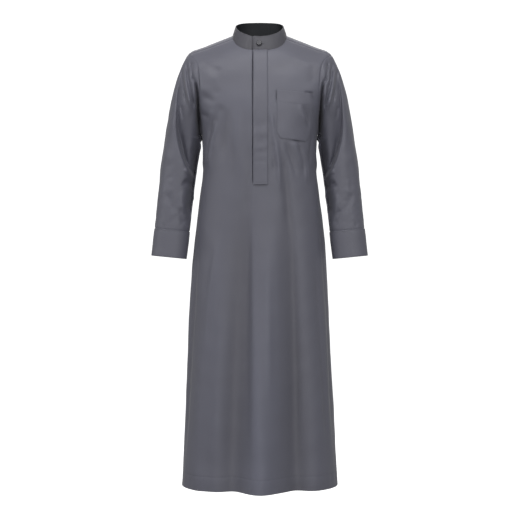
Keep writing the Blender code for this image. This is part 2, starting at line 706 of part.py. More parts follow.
def strip_grid(left, right, foot, offset, columns, rows, lower):
    """A strip that follows the front's surface, moved out by offset, ending just under the neckline."""
    across = np.linspace(left, right, columns)
    grid = np.zeros((rows, columns, 3))
    for c, x in enumerate(across):
        angle = np.arcsin((abs(x) / NECK_HALF_WIDTH) ** (NECK_POWER / 2))
        top = float(neck_front(angle)[1]) - lower
        heights = foot + (top - foot) * np.linspace(0, 1, rows)
        grid[:, c] = body_point(np.full(rows, x), heights, -1)
    normals = normals_of(grid, False, False)
    return grid + normals * offset, normals


def build_placket():
    over = CLOTH / 2 + LYING_GAP + STRIP / 2
    grid, normals = strip_grid(PLACKET_LEFT, PLACKET_RIGHT, PLACKET_FOOT - 0.003, over, 6, 18, 0.0010)
    whole = np.ones((17, 5), bool)
    add_piece("placket", *cloth_wall(grid, normals, whole, STRIP / 2, STRIP / 2, False, False))
    grid, normals = strip_grid(
        BUTTON_STAND_LEFT, BUTTON_STAND_RIGHT, BUTTON_STAND_FOOT, -over, 5, 17, 0.0024
    )
    whole = np.ones((16, 4), bool)
    add_piece("placket_under", *cloth_wall(grid, normals, whole, STRIP / 2, STRIP / 2, False, False))


def build_pocket():
    """A patch over the chest: its rows run from the bottom up to the opening."""
    (ax, az), (bx, bz), (cx, cz), (dx, dz), (ex, ez), (fx, fz) = POCKET_OUTLINE
    rows, columns = 9, 9
    grid = np.zeros((rows, columns, 3))
    shares = np.array([0.0, 0.09, 0.22, 0.40, 0.58, 0.744, 0.756, 0.88, 1.0])
    for c, u in enumerate(np.linspace(0, 1, columns)):
        foot = np.array([cx + (dx - cx) * u, cz + (dz - cz) * u])
        if c == 0:
            foot = np.array([bx, bz])
        if c == columns - 1:
            foot = np.array([ex, ez])
        if c == 1:
            foot = np.array([cx, cz])
        if c == columns - 2:
            foot = np.array([dx, dz])
        head = np.array([ax + (fx - ax) * u, az + (fz - az) * u])
        line = foot + (head - foot) * shares[:, None]
        grid[:, c] = body_point(line[:, 0], line[:, 1], -1)
    normals = normals_of(grid, False, False)
    grid = grid + normals * (CLOTH / 2 + LYING_GAP + CLOTH / 2)
    gape = POCKET_GAPE * np.clip((shares - 0.6) / 0.4, 0, 1)[:, None] ** 2
    gape = gape * np.sin(np.linspace(0, math.pi, columns)) ** 0.7
    grid = grid + normals * gape[..., None]
    outside = np.where(shares > 0.75, CLOTH / 2 + 0.0008, CLOTH / 2)[:, None]
    whole = np.ones((rows - 1, columns - 1), bool)
    add_piece("pocket", *cloth_wall(grid, normals, whole, outside, CLOTH / 2, False, False))


def build_button(collar):
    """A turned disc with a raised rim, pierced by four thread holes, seated on the collar."""
    ahead = slice(0, collar.shape[1] // 4)
    normals = normals_of(collar, False, False)
    outer = (collar + normals * BAND / 2)[:, ahead].reshape(-1, 3)
    directions = normals[:, ahead].reshape(-1, 3)
    near = np.argsort(np.hypot(outer[:, 0] - BUTTON_AT[0], outer[:, 2] - BUTTON_AT[1]))[:4]
    normal = directions[near].mean(0)
    normal /= np.linalg.norm(normal)
    x, z = BUTTON_AT
    seat = outer[near[0]]
    y = seat[1] - (normal[0] * (x - seat[0]) + normal[2] * (z - seat[2])) / normal[1]
    profile = (
        (0.0, BUTTON_THICK * 0.62),
        (BUTTON_RADIUS * 0.60, BUTTON_THICK * 0.62),
        (BUTTON_RADIUS * 0.70, BUTTON_THICK * 0.95),
        (BUTTON_RADIUS * 0.84, BUTTON_THICK),
        (BUTTON_RADIUS * 0.96, BUTTON_THICK * 0.85),
        (BUTTON_RADIUS, BUTTON_THICK * 0.55),
        (BUTTON_RADIUS * 0.92, BUTTON_THICK * 0.18),
        (BUTTON_RADIUS * 0.70, 0.0),
        (0.0, 0.0),
    )
    button = turned("collar_button", profile, 24)
    cutter = drilled("button_thread_holes")
    for piece in (button, cutter):
        piece.location = np.array([x, y, z]) + normal * 0.0006
        piece.rotation_euler = direction_euler(normal)
    cut = button.modifiers.new("thread_holes", "BOOLEAN")
    cut.operation = "DIFFERENCE"
    cut.object = cutter


def direction_euler(normal):
    """The turn that takes +Z to a direction."""
    tilt = math.acos(max(-1.0, min(1.0, float(normal[2]))))
    return (0.0, tilt, math.atan2(float(normal[1]), float(normal[0])))


def turned(name, profile, sides):
    vertices, faces = [], []
    rings = []
    for radius, height in profile:
        if radius == 0:
            rings.append([len(vertices)])
            vertices.append((0.0, 0.0, height))
            continue
        rings.append([len(vertices) + k for k in range(sides)])
        for k in range(sides):
            turn = 2 * math.pi * k / sides
            vertices.append((radius * math.cos(turn), radius * math.sin(turn), height))
    for upper, lower in zip(rings, rings[1:]):
        for k in range(sides):
            j = (k + 1) % sides
            if len(upper) == 1:
                faces.append([upper[0], lower[k], lower[j]])
            elif len(lower) == 1:
                faces.append([upper[k], lower[0], upper[j]])
            else:
                faces.append([upper[k], lower[k], lower[j], upper[j]])
    return add_piece(name, vertices, faces, (0.075, 0.077, 0.09), 0.4)


def drilled(name):
    """The four thread holes, as one cutter."""
    vertices, faces = [], []
    for k in range(4):
        turn = math.pi / 4 + k * math.pi / 2
        cx, cy = BUTTON_HOLE_SPREAD * math.cos(turn), BUTTON_HOLE_SPREAD * math.sin(turn)
        base = len(vertices)
        for height in (-0.002, 0.006):
            for j in range(8):
                around = 2 * math.pi * j / 8
                vertices.append(
                    (
                        cx + BUTTON_HOLE_RADIUS * math.cos(around),
                        cy + BUTTON_HOLE_RADIUS * math.sin(around),
                        height,
                    )
                )
        faces.append([base + j for j in reversed(range(8))])
        faces.append([base + 8 + j for j in range(8)])
        for j in range(8):
            n = (j + 1) % 8
            faces.append([base + j, base + n, base + 8 + n, base + 8 + j])
    cutter = add_piece(name, vertices, faces)
    cutter.hide_render = True
    cutter.display_type = "WIRE"
    return cutter


def main():
    for old in list(bpy.data.objects):
        bpy.data.objects.remove(old, do_unlink=True)
    front, back, angles = build_body()
    build_cuffs(angles)
    collar = collar_grid(front, back)
    build_collar(collar)
    build_button(collar)
    build_placket()
    build_pocket()


main()
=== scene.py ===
import math

import bmesh
import bpy
import numpy as np
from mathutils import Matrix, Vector


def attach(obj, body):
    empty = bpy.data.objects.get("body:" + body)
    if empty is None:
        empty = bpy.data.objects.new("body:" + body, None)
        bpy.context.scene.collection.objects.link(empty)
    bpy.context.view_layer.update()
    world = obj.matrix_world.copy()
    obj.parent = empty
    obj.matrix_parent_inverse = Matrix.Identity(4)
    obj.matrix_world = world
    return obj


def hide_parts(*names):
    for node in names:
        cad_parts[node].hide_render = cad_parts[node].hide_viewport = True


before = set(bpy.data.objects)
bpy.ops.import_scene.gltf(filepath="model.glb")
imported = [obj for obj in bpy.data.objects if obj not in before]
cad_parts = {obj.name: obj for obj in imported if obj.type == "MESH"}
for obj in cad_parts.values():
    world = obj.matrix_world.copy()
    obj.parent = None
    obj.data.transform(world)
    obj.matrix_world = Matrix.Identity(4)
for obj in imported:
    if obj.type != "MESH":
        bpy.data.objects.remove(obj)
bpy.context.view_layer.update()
scene = bpy.context.scene
print("frame loaded:", len(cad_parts), "nodes")

# curves through short tables


def smooth(x, xs, ys):
    xs, ys = np.asarray(xs, float), np.asarray(ys, float)
    x = np.clip(np.asarray(x, float), xs[0], xs[-1])
    slopes = np.diff(ys) / np.diff(xs)
    tangents = np.concatenate([slopes[:1], (slopes[1:] + slopes[:-1]) / 2, slopes[-1:]])
    tangents[np.concatenate([[False], slopes[1:] * slopes[:-1] <= 0, [False]])] = 0  # no overshoot at a peak
    i = np.clip(np.searchsorted(xs, x, side="right") - 1, 0, len(xs) - 2)
    step = xs[i + 1] - xs[i]
    t = (x - xs[i]) / step
    near = (1 + 2 * t) * (1 - t) ** 2 * ys[i] + t * (1 - t) ** 2 * step * tangents[i]
    return near + t * t * (3 - 2 * t) * ys[i + 1] + t * t * (t - 1) * step * tangents[i + 1]


def column(rows, key, value, k):
    rows = sorted(rows, key=lambda row: row[key])
    return smooth(value, [row[key] for row in rows], [row[k] for row in rows])


def runOf(points):
    return np.concatenate([[0], np.cumsum(np.linalg.norm(np.diff(points, axis=0), axis=1))])


def along(points, shares):
    points = np.asarray(points, float)
    run = runOf(points)
    return np.stack([np.interp(shares * run[-1], run, points[:, k]) for k in range(points.shape[1])], axis=1)


def smoothLine(rows, shares):
    rows = np.asarray(rows, float)
    run = runOf(rows)
    fine = np.linspace(0, run[-1], 600)
    return along(np.stack([smooth(fine, run, rows[:, k]) for k in range(rows.shape[1])], axis=1), shares)


def easing(t):
    t = np.clip(t, 0, 1)
    return t * t * (3 - 2 * t)


def unit(v):
    return v / np.maximum(np.linalg.norm(v, axis=-1, keepdims=True), 1e-12)


# folds: soft ridges and troughs along a line on the cloth


def drift(u, v, size, seed):
    # slow unevenness: a few waves in fixed directions
    total = np.zeros(np.broadcast(u, v).shape)
    for k in range(6):
        turn = 2.4 * k + 1.7 * seed
        wave = 2 * math.pi / (size * (0.7 + 0.22 * k))
        total = total + np.sin(wave * (u * math.cos(turn) + v * math.sin(turn)) + 1.9 * k * seed + k)
    return total / 6


# rise, size of the waves, seed
unevenness = {
    "body": (0.0009, 0.10, 3),
    "sleeve": (0.0007, 0.05, 2),
    "lowSleeve": (0.0005, 0.022, 5),
    "cuff": (0.0006, 0.05, 8),
    "collar": (0.0007, 0.06, 4),
}


def uneven(key, u, v, variant=0):
    rise, size, seed = unevenness[key]
    return rise * drift(u, v, size, seed + variant)


def foldRise(u, v, folds, place, taper=0.3):
    total = np.zeros(np.broadcast(u, v).shape)
    for n, (width, rise, lean, path) in enumerate(folds):
        line = np.array([place(*p) for p in path], float)
        line = smoothLine(line, np.linspace(0, 1, 4 * len(line))) if len(line) > 2 else line
        run = runOf(line)
        best = np.full(total.shape, 9.0)
        side = np.zeros(total.shape)
        at = np.zeros(total.shape)
        for a, b, start in zip(line[:-1], line[1:], run):
            d = b - a
            length = max(float(np.hypot(*d)), 1e-9)
            t = np.clip(((u - a[0]) * d[0] + (v - a[1]) * d[1]) / length ** 2, 0, 1)
            away = np.hypot(u - a[0] - t * d[0], v - a[1] - t * d[1])
            near = away < best
            best = np.where(near, away, best)
            side = np.where(near, np.sign((u - a[0]) * d[1] - (v - a[1]) * d[0]), side)
            at = np.where(near, (start + t * length) / run[-1], at)
        ends = easing(at / taper + 0.06) * easing((1 - at) / taper + 0.06)
        wide = width * (1 + lean * side)
        wavering = 1 + 0.18 * np.sin(9 * at + n)
        total = total + rise * ends * wavering * bell(best, wide)
    return total


def bell(distance, width):
    return np.exp(-((distance / width) ** 2))


def metres(rows):
    # tables are written in mm
    return tuple(tuple(number / 1000 for number in row) for row in rows)


def folds(rows, acrossScale=1000):
    # a row: width, rise, lean to one side, then across and height of each point
    return [
        (width / 1000, rise / 1000, lean, [(a / acrossScale, h / 1000) for a, h in zip(points[::2], points[1::2])])
        for width, rise, lean, *points in rows
    ]


def asPlaced(x, z):
    return x, z


body = {
    "power": 2.4,
    "underarm": -0.305,
    "dropRun": 0.2,
    # height, half width, front depth, back depth
    "sections": metres((
        (-1373.5, 238.4, 137, 144), (-1302, 233.9, 130, 139), (-1179, 225.6, 127, 134),
        (-1056, 219.2, 125, 130), (-933, 213.1, 123, 126), (-811, 206.9, 122, 122), (-688, 198.6, 122, 119),
        (-565, 188.8, 123, 117), (-473, 179.3, 125, 117), (-427, 173.8, 127, 119), (-396, 172.2, 129, 121),
        (-335, 174.4, 131, 125), (-305, 176.8, 132, 127), (-250, 190, 131, 130), (-200, 212, 128, 131),
        (-150, 235, 122, 129), (-100, 260, 113, 125), (-50, 286, 101, 120), (40, 320, 88, 114),
    )),
    # the top of the shoulders: from centre, height, forward, drop of the curve over them
    "ridge": metres((
        (0, 26, 12, 160), (30, 21.5, 11.8, 158), (60, 10, 11, 154), (84.5, 0, 10, 150),
        (114.5, -12.3, 8, 145), (145, -24.6, 6, 140), (174.4, -36.8, 4, 132), (191.6, -43, 2, 125),
        (201.1, -46.1, 1, 120), (213.1, -53.7, 0, 114), (221, -60.5, 0, 110), (240, -78, 0, 104),
    )),
    "frontArmhole": metres((
        (176.8, -305), (175.2, -290), (174.5, -260), (174.8, -230), (176, -195), (178.8, -155), (183.2, -120),
        (190.5, -93), (202, -76.5), (218.5, -65.5),
    )),
    "backArmhole": metres((
        (176.8, -305), (176.5, -285), (177.5, -250), (180, -210), (183, -170), (187.5, -130), (196, -95),
        (208.5, -70), (219.5, -59.4),
    )),
    "neckHalf": 0.0815,
    "neckDrop": 0.059,
    "neckPower": 2.5,
    "neckBackAngle": 0.49,
    "seamAtNeck": (0.0798, -0.0181),
    "seamAtArm": (0.2185, -0.0655),
    "slot": (-0.0135, 0.0195),
    "foldGrowth": 1.3,
    "earlyGrowth": 0.4,
    # how soon folds begin beside a side seam and below the top of the shoulders
    "sideEase": 9,
    "topEase": 2.2,
    "outward": 0.6,
    # rise, where they begin, over what height, what their phase gains round half the robe
    "flutes": (0.0013, -0.45, 0.3, 21),
    "quarterAtArm": 0.245,
    "quarterGrowth": 0.062,
    "placketFoot": -0.4612,
    # the cloth sinks beside free edges
    "grooves": folds((
        (1.7, -5, 0, -19.4, -50, -19.4, -466),
        (1.4, -2.2, 0, -19, -466, 24, -466),
        (2, -4.2, 0, 133, -189.5, 145, -190.8, 158, -192),
        (1.5, -4, 0, 49.4, -185, 49.7, -226),
        (1.7, -4, 0, 63, -328.5, 100, -332.2, 137, -336),
    )),
    # the chest is flatter toward the arms than the plain curve: straight ahead
    "flatter": folds((
        (45, 7.5, 0, 180, -70, 178, -140, 172, -215),
        (45, 7.5, 0, -180, -70, -178, -140, -172, -215),
    )),
    "hemLine": -1.3315,
    "cloth": 0.0010,
    "hemTurn": 0.0008,
    "seamDip": 0.0012,
    "seamWidth": 0.0028,
}

# columns: across and height of the top, across and height of the foot, half width at each, rise at each
skirtFolds = {
    "front": metres((
        (2, -480, 3, -1373.5, 30, 52, 0, 43),
        (-62, -420, -76, -1373.5, 26, 32, 0, -18),
        (92, -340, 114, -1373.5, 26, 33, 0, -20),
        (-118, -600, -132, -1373.5, 20, 26, 0, 8),
        (-160, -550, -178, -1373.5, 18, 26, 0, 10),
        (135, -500, 165, -1373.5, 22, 34, 0, 4),
    )),
    "back": metres((
        (15, -450, 30, -1373.5, 30, 50, 0, 22),
        (-50, -350, -60, -1373.5, 22, 34, -2, -20),
        (85, -400, 112, -1373.5, 20, 32, 0, -17),
        (-105, -500, -135, -1373.5, 20, 36, 0, 14),
        (135, -550, 178, -1373.5, 18, 28, 0, 9),
    )),
}

bodyFolds = {
    "front": folds((
        (13, -2.6, 0.2, -180, -88, -148, -110, -112, -130),
        (12, 1.2, 0, -170, -120, -146, -140, -118, -152),
        (14, -2, 0, -168, -150, -140, -176, -118, -206),
        (12, -2.2, 0, -174, -196, -152, -206, -128, -226),
        (9, -3, 0, -176, -246, -160, -255, -146, -262),
        (7, 1.4, 0, -136, -236, -145, -262, -153, -290),
        (12, -2, 0, -106, -226, -120, -250, -136, -286),
        (7, -3.6, 0, -136, -262, -147, -306, -155, -350, -162, -410),
        (7, 4.4, 0, -124, -272, -138, -320, -149, -365, -156, -410),
        (12, -4.6, 0.1, -100, -236, -101, -280, -106, -330, -114, -400),
        (12, 4.2, 0, -66, -224, -66, -270, -68, -330, -72, -400),
        (10, -2.4, 0, -84, -320, -83, -380, -88, -460),
        (9, -3.4, 0, -34, -335, -31, -400, -36, -480, -44, -560),
        (4.5, 4.2, 0, 31, -240, 42, -315, 47, -360, 50, -405),
        (4.5, -3, 0, 37, -330, 42, -370, 44, -440),
        (5, 4.4, 0, 48, -314, 54.5, -372, 58.5, -440, 59, -490),
        (12.5, -5.6, 0, 71, -352, 76, -430, 83, -520, 90, -620),
        (8, -4.6, 0, 74, -328, 93, -380, 112, -438),
        (8, 3.6, 0, 92, -322, 113, -362, 134, -412, 142, -460),
        (7, -4, 0.2, 111, -334, 128, -384, 138, -440),
        (9, 1.8, 0, 130, -345, 143, -400, 152, -460),
        (6, 3.4, 0.3, 115, -222, 127, -256, 140, -288),
        (9, -4.4, -0.2, 123, -226, 139, -256, 150, -296),
        (10, -2.4, 0, 162, -300, 154, -345, 150, -400),
        (12, -2.2, 0, 156, -98, 158, -130, 156, -166),
        (16, 1.4, 0, 140, -85, 120, -98, 90, -120),
        (50, 6.5, 0, -205, -214, 0, -226, 205, -214),
        (28, 5, 0, -130, -50, 0, -72, 130, -50),
        (34, 3, 0, 80, -110, 90, -160, 85, -210),
        (23, -7.4, 0.45, 84, -440, 96, -600, 104, -800, 112, -1100, 114, -1330),
        (12, 2.8, 0, -126, -640, -150, -800, -160, -1000),
        (22, 2.4, 0, -100, -780, -106, -950, -114, -1150, -118, -1330),
        (12, -1.6, 0, -128, -850, -136, -1050, -146, -1250),
        (14, -2.6, 0, 166, -640, 176, -850, 196, -1150, 204, -1320),
        (9, 4, 0, -14, -500, -15, -700, -14, -1000, -14, -1373),
        (8, 1.8, 0, 20, -600, 22, -800, 24, -1100),
        (21, -10, 0.6, -34, -440, -36, -700, -37, -1000, -39, -1373),
        (15, 3.4, 0, 38, -480, 43, -700, 47, -1000, 50, -1373),
        (20, 4, 0, -122, -560, -132, -800, -140, -1340),
        (30, -4, 0, -235, -1385, 0, -1385, 235, -1385),
        (8, 1.8, 0, 26, -560, 30, -760, 30, -980, 28, -1200),
        (6, -1.4, 0, 0, -620, -4, -800, -6, -1000),
    )),
    "back": folds((
        (22, -4, 0.1, -150, -120, -120, -180, -85, -230, -60, -300),
        (18, 3.2, 0, -160, -170, -130, -230, -100, -290),
        (20, -3.6, 0.1, 155, -140, 128, -190, 100, -240, 80, -320),
        (16, 3, 0, 160, -190, 136, -250, 110, -310),
        (12, -2.6, 0, 164, -270, 130, -262, 100, -268),
        (12, -2.4, 0, -166, -262, -136, -268, -108, -282),
        (10, 1.8, 0, -164, -285, -130, -296, -100, -318),
        (24, -4, 0, 12, -80, 16, -200, 12, -340, 20, -480),
        (26, 3.6, 0, 60, -120, 62, -260, 52, -420),
        (24, 3.4, 0, -46, -140, -50, -260, -44, -400),
        (14, -3, 0.1, -145, -420, -110, -455, -70, -470),
        (13, 2.4, 0, -150, -450, -116, -492, -80, -512),
        (14, -2.6, 0.1, 150, -400, 118, -440, 84, -462),
        (12, 2.8, 0, 100, -600, 122, -800, 140, -1050, 150, -1300),
        (12, -3, 0, -4, -560, -14, -760, -20, -1000, -16, -1250),
        (14, 3, 0, -80, -560, -92, -780, -100, -1050, -104, -1340),
        (13, -3.4, 0, 60, -520, 74, -720, 82, -950, 80, -1200),
        (16, 1.6, 0, -60, 0, -90, -50, -110, -110),
        (16, -1.6, 0, 50, -4, 84, -54, 104, -120),
    )),
    # across here is the way round in hundredths: 0 at the centre front, 200 at the centre back, left above 0
    "side": folds((
        (20, 5, 0, 96, -420, 100, -620, 104, -900, 103, -1150, 105, -1360),
        (18, -4.8, 0.1, 118, -400, 120, -620, 117, -900, 120, -1360),
        (18, -4, 0.1, 80, -520, 82, -750, 86, -1000, 84, -1300),
        (12, 2.6, 0, 78, -340, 90, -385, 104, -400, 122, -380),
        (20, 4.4, 0, -95, -440, -98, -650, -96, -950, -100, -1360),
        (20, -5, 0.1, -114, -380, -116, -600, -119, -900, -116, -1340),
        (18, -3.6, 0.1, -78, -600, -80, -850, -84, -1100, -82, -1320),
        (12, 2.6, 0, -80, -336, -92, -384, -108, -396, -120, -376),
    ), 100),
}


def halfWidth(z):
    return column(body["sections"], 0, z, 1)


def depthAt(x, z, side):
    share = np.clip(np.abs(x) / halfWidth(z), 0, 1)
    full = np.where(side < 0, column(body["sections"], 0, z, 2), column(body["sections"], 0, z, 3))
    return full * (1 - share ** body["power"]) ** (1 / body["power"])


def ridge(x, k):
    return column(body["ridge"], 0, np.abs(x), k)


def shareAngle(x, z):
    return np.arcsin(np.clip(np.abs(x) / halfWidth(z), 0, 1) ** (body["power"] / 2))


def quarter(z):
    # a quarter of the way round, in metres
    return body["quarterAtArm"] + body["quarterGrowth"] * np.clip((body["underarm"] - z) / 1.07, 0, 1)


def skirtRise(x, z, rows, early=0.0):
    total = np.zeros(np.broadcast(x, z).shape)
    for x0, z0, x1, z1, half0, half1, rise0, rise1 in rows:
        t = (z0 - z) / (z0 - z1)
        inside = np.clip(t, 0, 1)
        ends = np.clip(1 + np.minimum(t, 0) * 8, 0, 1) * np.clip(1 + np.minimum(1 - t, 0) * 8, 0, 1)
        distance = x - (x0 + (x1 - x0) * inside)
        half = half0 + (half1 - half0) * inside
        growth = inside ** body["foldGrowth"] + early * inside * (1 - inside)
        total += (rise0 + (rise1 - rise0) * growth) * ends * bell(distance, half)
    return total


def smallRise(x, z, side):
    # the smaller folds, on a flat map of the cloth that runs on past the side seams
    share = shareAngle(x, z) / (math.pi / 2)
    hand = np.where(x < 0, -1.0, 1.0)
    wide = quarter(z)
    fromFront = hand * np.where(side < 0, share, 2 - share)
    fromBack = hand * np.where(side < 0, 2 - share, share)

    def placed(px, pz):
        return math.copysign(float(shareAngle(px, pz)) / (math.pi / 2), px) * float(quarter(pz)), pz

    def placedRound(a, pz):
        return a * float(quarter(pz)), pz

    total = foldRise(fromFront * wide, z, bodyFolds["front"], placed)
    total = total + foldRise(fromBack * wide, z, bodyFolds["back"], placed)
    total = total + foldRise(fromFront * wide, z, bodyFolds["side"], placedRound)
    around = np.pi * fromFront / 2
    total = total + uneven("body", 0.19 * np.sin(around), z + 0.16 * np.cos(around))
    rise, start, run, count = body["flutes"]
    low = easing((start - z) / run)
    return total + rise * low * np.sin(count * around / math.pi + 2.1 * np.sin(3 * z) + 0.7)


def bodyPoint(x, z, side, over=None, grooves=True):
    x, z, side = np.broadcast_arrays(np.asarray(x, float), np.asarray(z, float), np.asarray(side, float))
    top = ridge(x, 1)
    if over is None:
        drop = np.clip((top - z) / ridge(x, 3), 0, 1)
        sine = np.sqrt(1 - (1 - drop) ** 2)
    else:
        sine = np.sin(over)
    lean = np.clip((z - body["underarm"]) / (top - body["underarm"]), 0, 1)
    share = np.clip(np.abs(x) / halfWidth(z), 0, 1)
    frontRise = skirtRise(x, z, skirtFolds["front"], body["earlyGrowth"])
    rise = np.where(side < 0, frontRise, skirtRise(x, z, skirtFolds["back"]))
    rise = rise * np.clip((1 - share) * body["sideEase"], 0, 1)
    rise = rise + smallRise(x, z, side) * easing(sine * body["topEase"])
    if grooves:
        rise = rise + foldRise(x, z, body["grooves"], asPlaced, 0.06) * (side < 0)
    outX = np.sign(x) * share ** (body["power"] - 1) * body["outward"]
    outY = side * (1 - share ** body["power"]) ** 0.5
    length = np.maximum(np.hypot(outX, outY), 1e-6)
    y = ridge(x, 2) * lean + side * depthAt(x, z, side) * sine
    y = y - foldRise(x, z, body["flatter"], asPlaced) * (side < 0)
    return np.stack([x + rise * outX / length, y + rise * outY / length, z], axis=-1)


def levelOf(x, z):
    drop = (ridge(x, 1) - z) / ridge(x, 3)
    over = np.arccos(np.clip(1 - drop, 0, 1)) / (math.pi / 2)
    return np.where(drop < 1, over, 1 + (ridge(x, 1) - ridge(x, 3) - z) / body["dropRun"])


def upperPoint(angle, level, hand):
    down = np.abs(level)
    over = np.minimum(down, 1) * math.pi / 2
    x = np.full(np.shape(angle), 0.1)
    for _ in range(40):
        z = ridge(x, 1) - ridge(x, 3) * (1 - np.cos(over)) - np.maximum(down - 1, 0) * body["dropRun"]
        x = 0.5 * x + 0.5 * halfWidth(z) * np.sin(angle) ** (2 / body["power"])
    return bodyPoint(hand * x, z, np.where(level < 0, -1, 1), over)


def neckFront(angle):
    x = body["neckHalf"] * np.sin(angle) ** (2 / body["neckPower"])
    return x, -body["neckDrop"] * np.cos(angle) ** (2 / body["neckPower"])


def neckAngle(x):
    return math.asin(min(1.0, abs(x) / body["neckHalf"]) ** (body["neckPower"] / 2))


# grids of the panels: rows run up, columns run across


def shares(*spans):
    # (start, end, cells) one after another
    return np.concatenate([np.linspace(a, b, n + 1)[:-1] for a, b, n in spans] + [[spans[-1][1]]])


neckCells, seamBreak = 34, 0.4
neckSpans = ((0, 0.036, 10), (0.036, seamBreak, neckCells - 10))
columnShares = np.concatenate([shares(*neckSpans), shares((seamBreak, 0.968, 38), (0.968, 1.0, 6))[1:]])
frontRows = shares((0, 0.97, 74), (0.97, 1.0, 6))
backRows = shares((0, 1.0, 74))
stripShares = shares((0, 0.86, 6), (0.86, 1.0, 4))
slotCells = 8
skirtRows = np.concatenate(
    [
        [-1.3735, -1.3725, -1.3700],
        np.linspace(-1.3650, -1.3350, 6),
        [-1.3327, -1.3315, -1.3303, -1.3285],
        np.linspace(-1.3230, body["placketFoot"], 114),
        np.linspace(body["placketFoot"], -0.3120, 22)[1:],
    ]
)
footRow = int(np.argmin(np.abs(skirtRows - body["placketFoot"])))
hemRow = int(np.argmin(np.abs(skirtRows - body["hemLine"])))


def patch(inner, outer, foot, head, v, u):
    v, u = v[:, None, None], u[None, :, None]
    sides = (1 - u) * inner[:, None] + u * outer[:, None]
    ends = (1 - v) * foot[None] + v * head[None]
    corners = (1 - v) * ((1 - u) * foot[0] + u * foot[-1]) + v * ((1 - u) * head[0] + u * head[-1])
    return sides + ends - corners


def toAngles(x, z, sign):
    return np.stack([shareAngle(x, z), sign * levelOf(x, z)], axis=1)


def seamLine():
    (x0, z0), (x1, z1) = body["seamAtNeck"], body["seamAtArm"]
    t = (columnShares[neckCells:] - seamBreak) / (1 - seamBreak)
    return x0 + (x1 - x0) * t, z0 + (z1 - z0) * t - 0.0015 * np.sin(math.pi * t)


def footLine(edge, sign):
    start = float(shareAngle(abs(edge), body["underarm"]))
    angles = start + (math.pi / 2 - start) * columnShares
    x = halfWidth(body["underarm"]) * np.sin(angles) ** (2 / body["power"])
    return np.stack([angles, sign * levelOf(x, body["underarm"])], axis=1)


def frontHalf(edge, hand):
    neck = np.stack(neckFront(np.linspace(neckAngle(edge), neckAngle(body["seamAtNeck"][0]), 90)), axis=1)
    neck = along(neck, columnShares[: neckCells + 1] / seamBreak)
    seamX, seamZ = seamLine()
    headX = np.concatenate([neck[:, 0], seamX[1:]])
    headZ = np.concatenate([neck[:, 1], seamZ[1:]])
    arm = smoothLine(body["frontArmhole"], frontRows)
    outer = toAngles(arm[:, 0], arm[:, 1], -1)
    innerZ = body["underarm"] + (headZ[0] - body["underarm"]) * frontRows
    inner = toAngles(np.full(len(innerZ), abs(edge)), innerZ, -1)
    grid = patch(inner, outer, footLine(edge, -1), toAngles(headX, headZ, -1), frontRows, columnShares)
    points = upperPoint(grid[..., 0], grid[..., 1], hand)
    points[:, 0, 0] = edge
    return points


def backHalf(hand):
    foot = footLine(0.0, 1)
    turn = columnShares[: neckCells + 1] / seamBreak * math.pi / 2
    neckX, neckLevel = body["neckHalf"] * np.sin(turn), body["neckBackAngle"] / (math.pi / 2) * np.cos(turn)
    seamX, seamZ = seamLine()
    t = (columnShares[neckCells:] - seamBreak) / (1 - seamBreak)
    ridgeX = body["neckHalf"] + (body["backArmhole"][-1][0] - body["neckHalf"]) * t
    headX = np.concatenate([neckX, ridgeX[1:]])
    levels = np.concatenate([neckLevel, np.zeros(len(ridgeX) - 1)])
    headZ = ridge(headX, 1) - ridge(headX, 3) * (1 - np.cos(levels * math.pi / 2))
    head = np.stack([shareAngle(headX, headZ), levels], axis=1)
    arm = np.asarray(body["backArmhole"])
    line = np.stack([shareAngle(arm[:, 0], arm[:, 1]), levelOf(arm[:, 0], arm[:, 1])], axis=1)
    line[-1] = head[-1]
    run = runOf(upperPoint(line[:, 0], line[:, 1], 1))
    outer = np.stack([smooth(backRows * run[-1], run, line[:, k]) for k in range(2)], axis=1)
    inner = np.stack([np.zeros(len(backRows)), foot[0, 1] + (head[0, 1] - foot[0, 1]) * backRows], axis=1)
    grid = patch(inner, outer, foot, head, backRows, columnShares)
    lower = upperPoint(grid[..., 0], grid[..., 1], hand)
    lower[:, 0, 0] = 0.0
    seam = toAngles(seamX, seamZ, -1)
    s = stripShares[:, None, None]
    grid = head[None, neckCells:] * (1 - s) + seam[None] * s
    fine = np.linspace(math.pi / 2, neckAngle(body["seamAtNeck"][0]), 60)
    neck = toAngles(*neckFront(fine), -1)
    neck[0, 1] = 0.0
    grid[1:-1, 0, 0] = np.interp(-grid[1:-1, 0, 1], -neck[:, 1], neck[:, 0])
    return lower, upperPoint(grid[..., 0], grid[..., 1], hand)


def lowerHalf(edge, hand, side):
    z = skirtRows[:, None]
    start = shareAngle(abs(edge), z)
    angles = start + (math.pi / 2 - start) * columnShares[None]
    x = hand * halfWidth(z) * np.sin(angles) ** (2 / body["power"])
    return bodyPoint(x, z, side)


def frontPanel():
    left, right = body["slot"]
    across = np.linspace(left, right, slotCells + 1)[1:-1]
    middle = bodyPoint(across[None], skirtRows[:, None], -1)
    low = np.concatenate([lowerHalf(left, -1, -1)[:, ::-1], middle, lowerHalf(right, 1, -1)], axis=1)
    a, b = frontHalf(left, -1), frontHalf(right, 1)
    t = np.linspace(0, 1, slotCells + 1)[None, 1:-1, None]
    high = np.concatenate([a[:, ::-1], a[:, :1] * (1 - t) + b[:, :1] * t, b], axis=1)
    grid = np.concatenate([low, high])
    keep = np.ones((grid.shape[0] - 1, grid.shape[1] - 1), bool)
    first = len(columnShares) - 1
    keep[footRow:, first:first + slotCells] = False
    return grid, keep


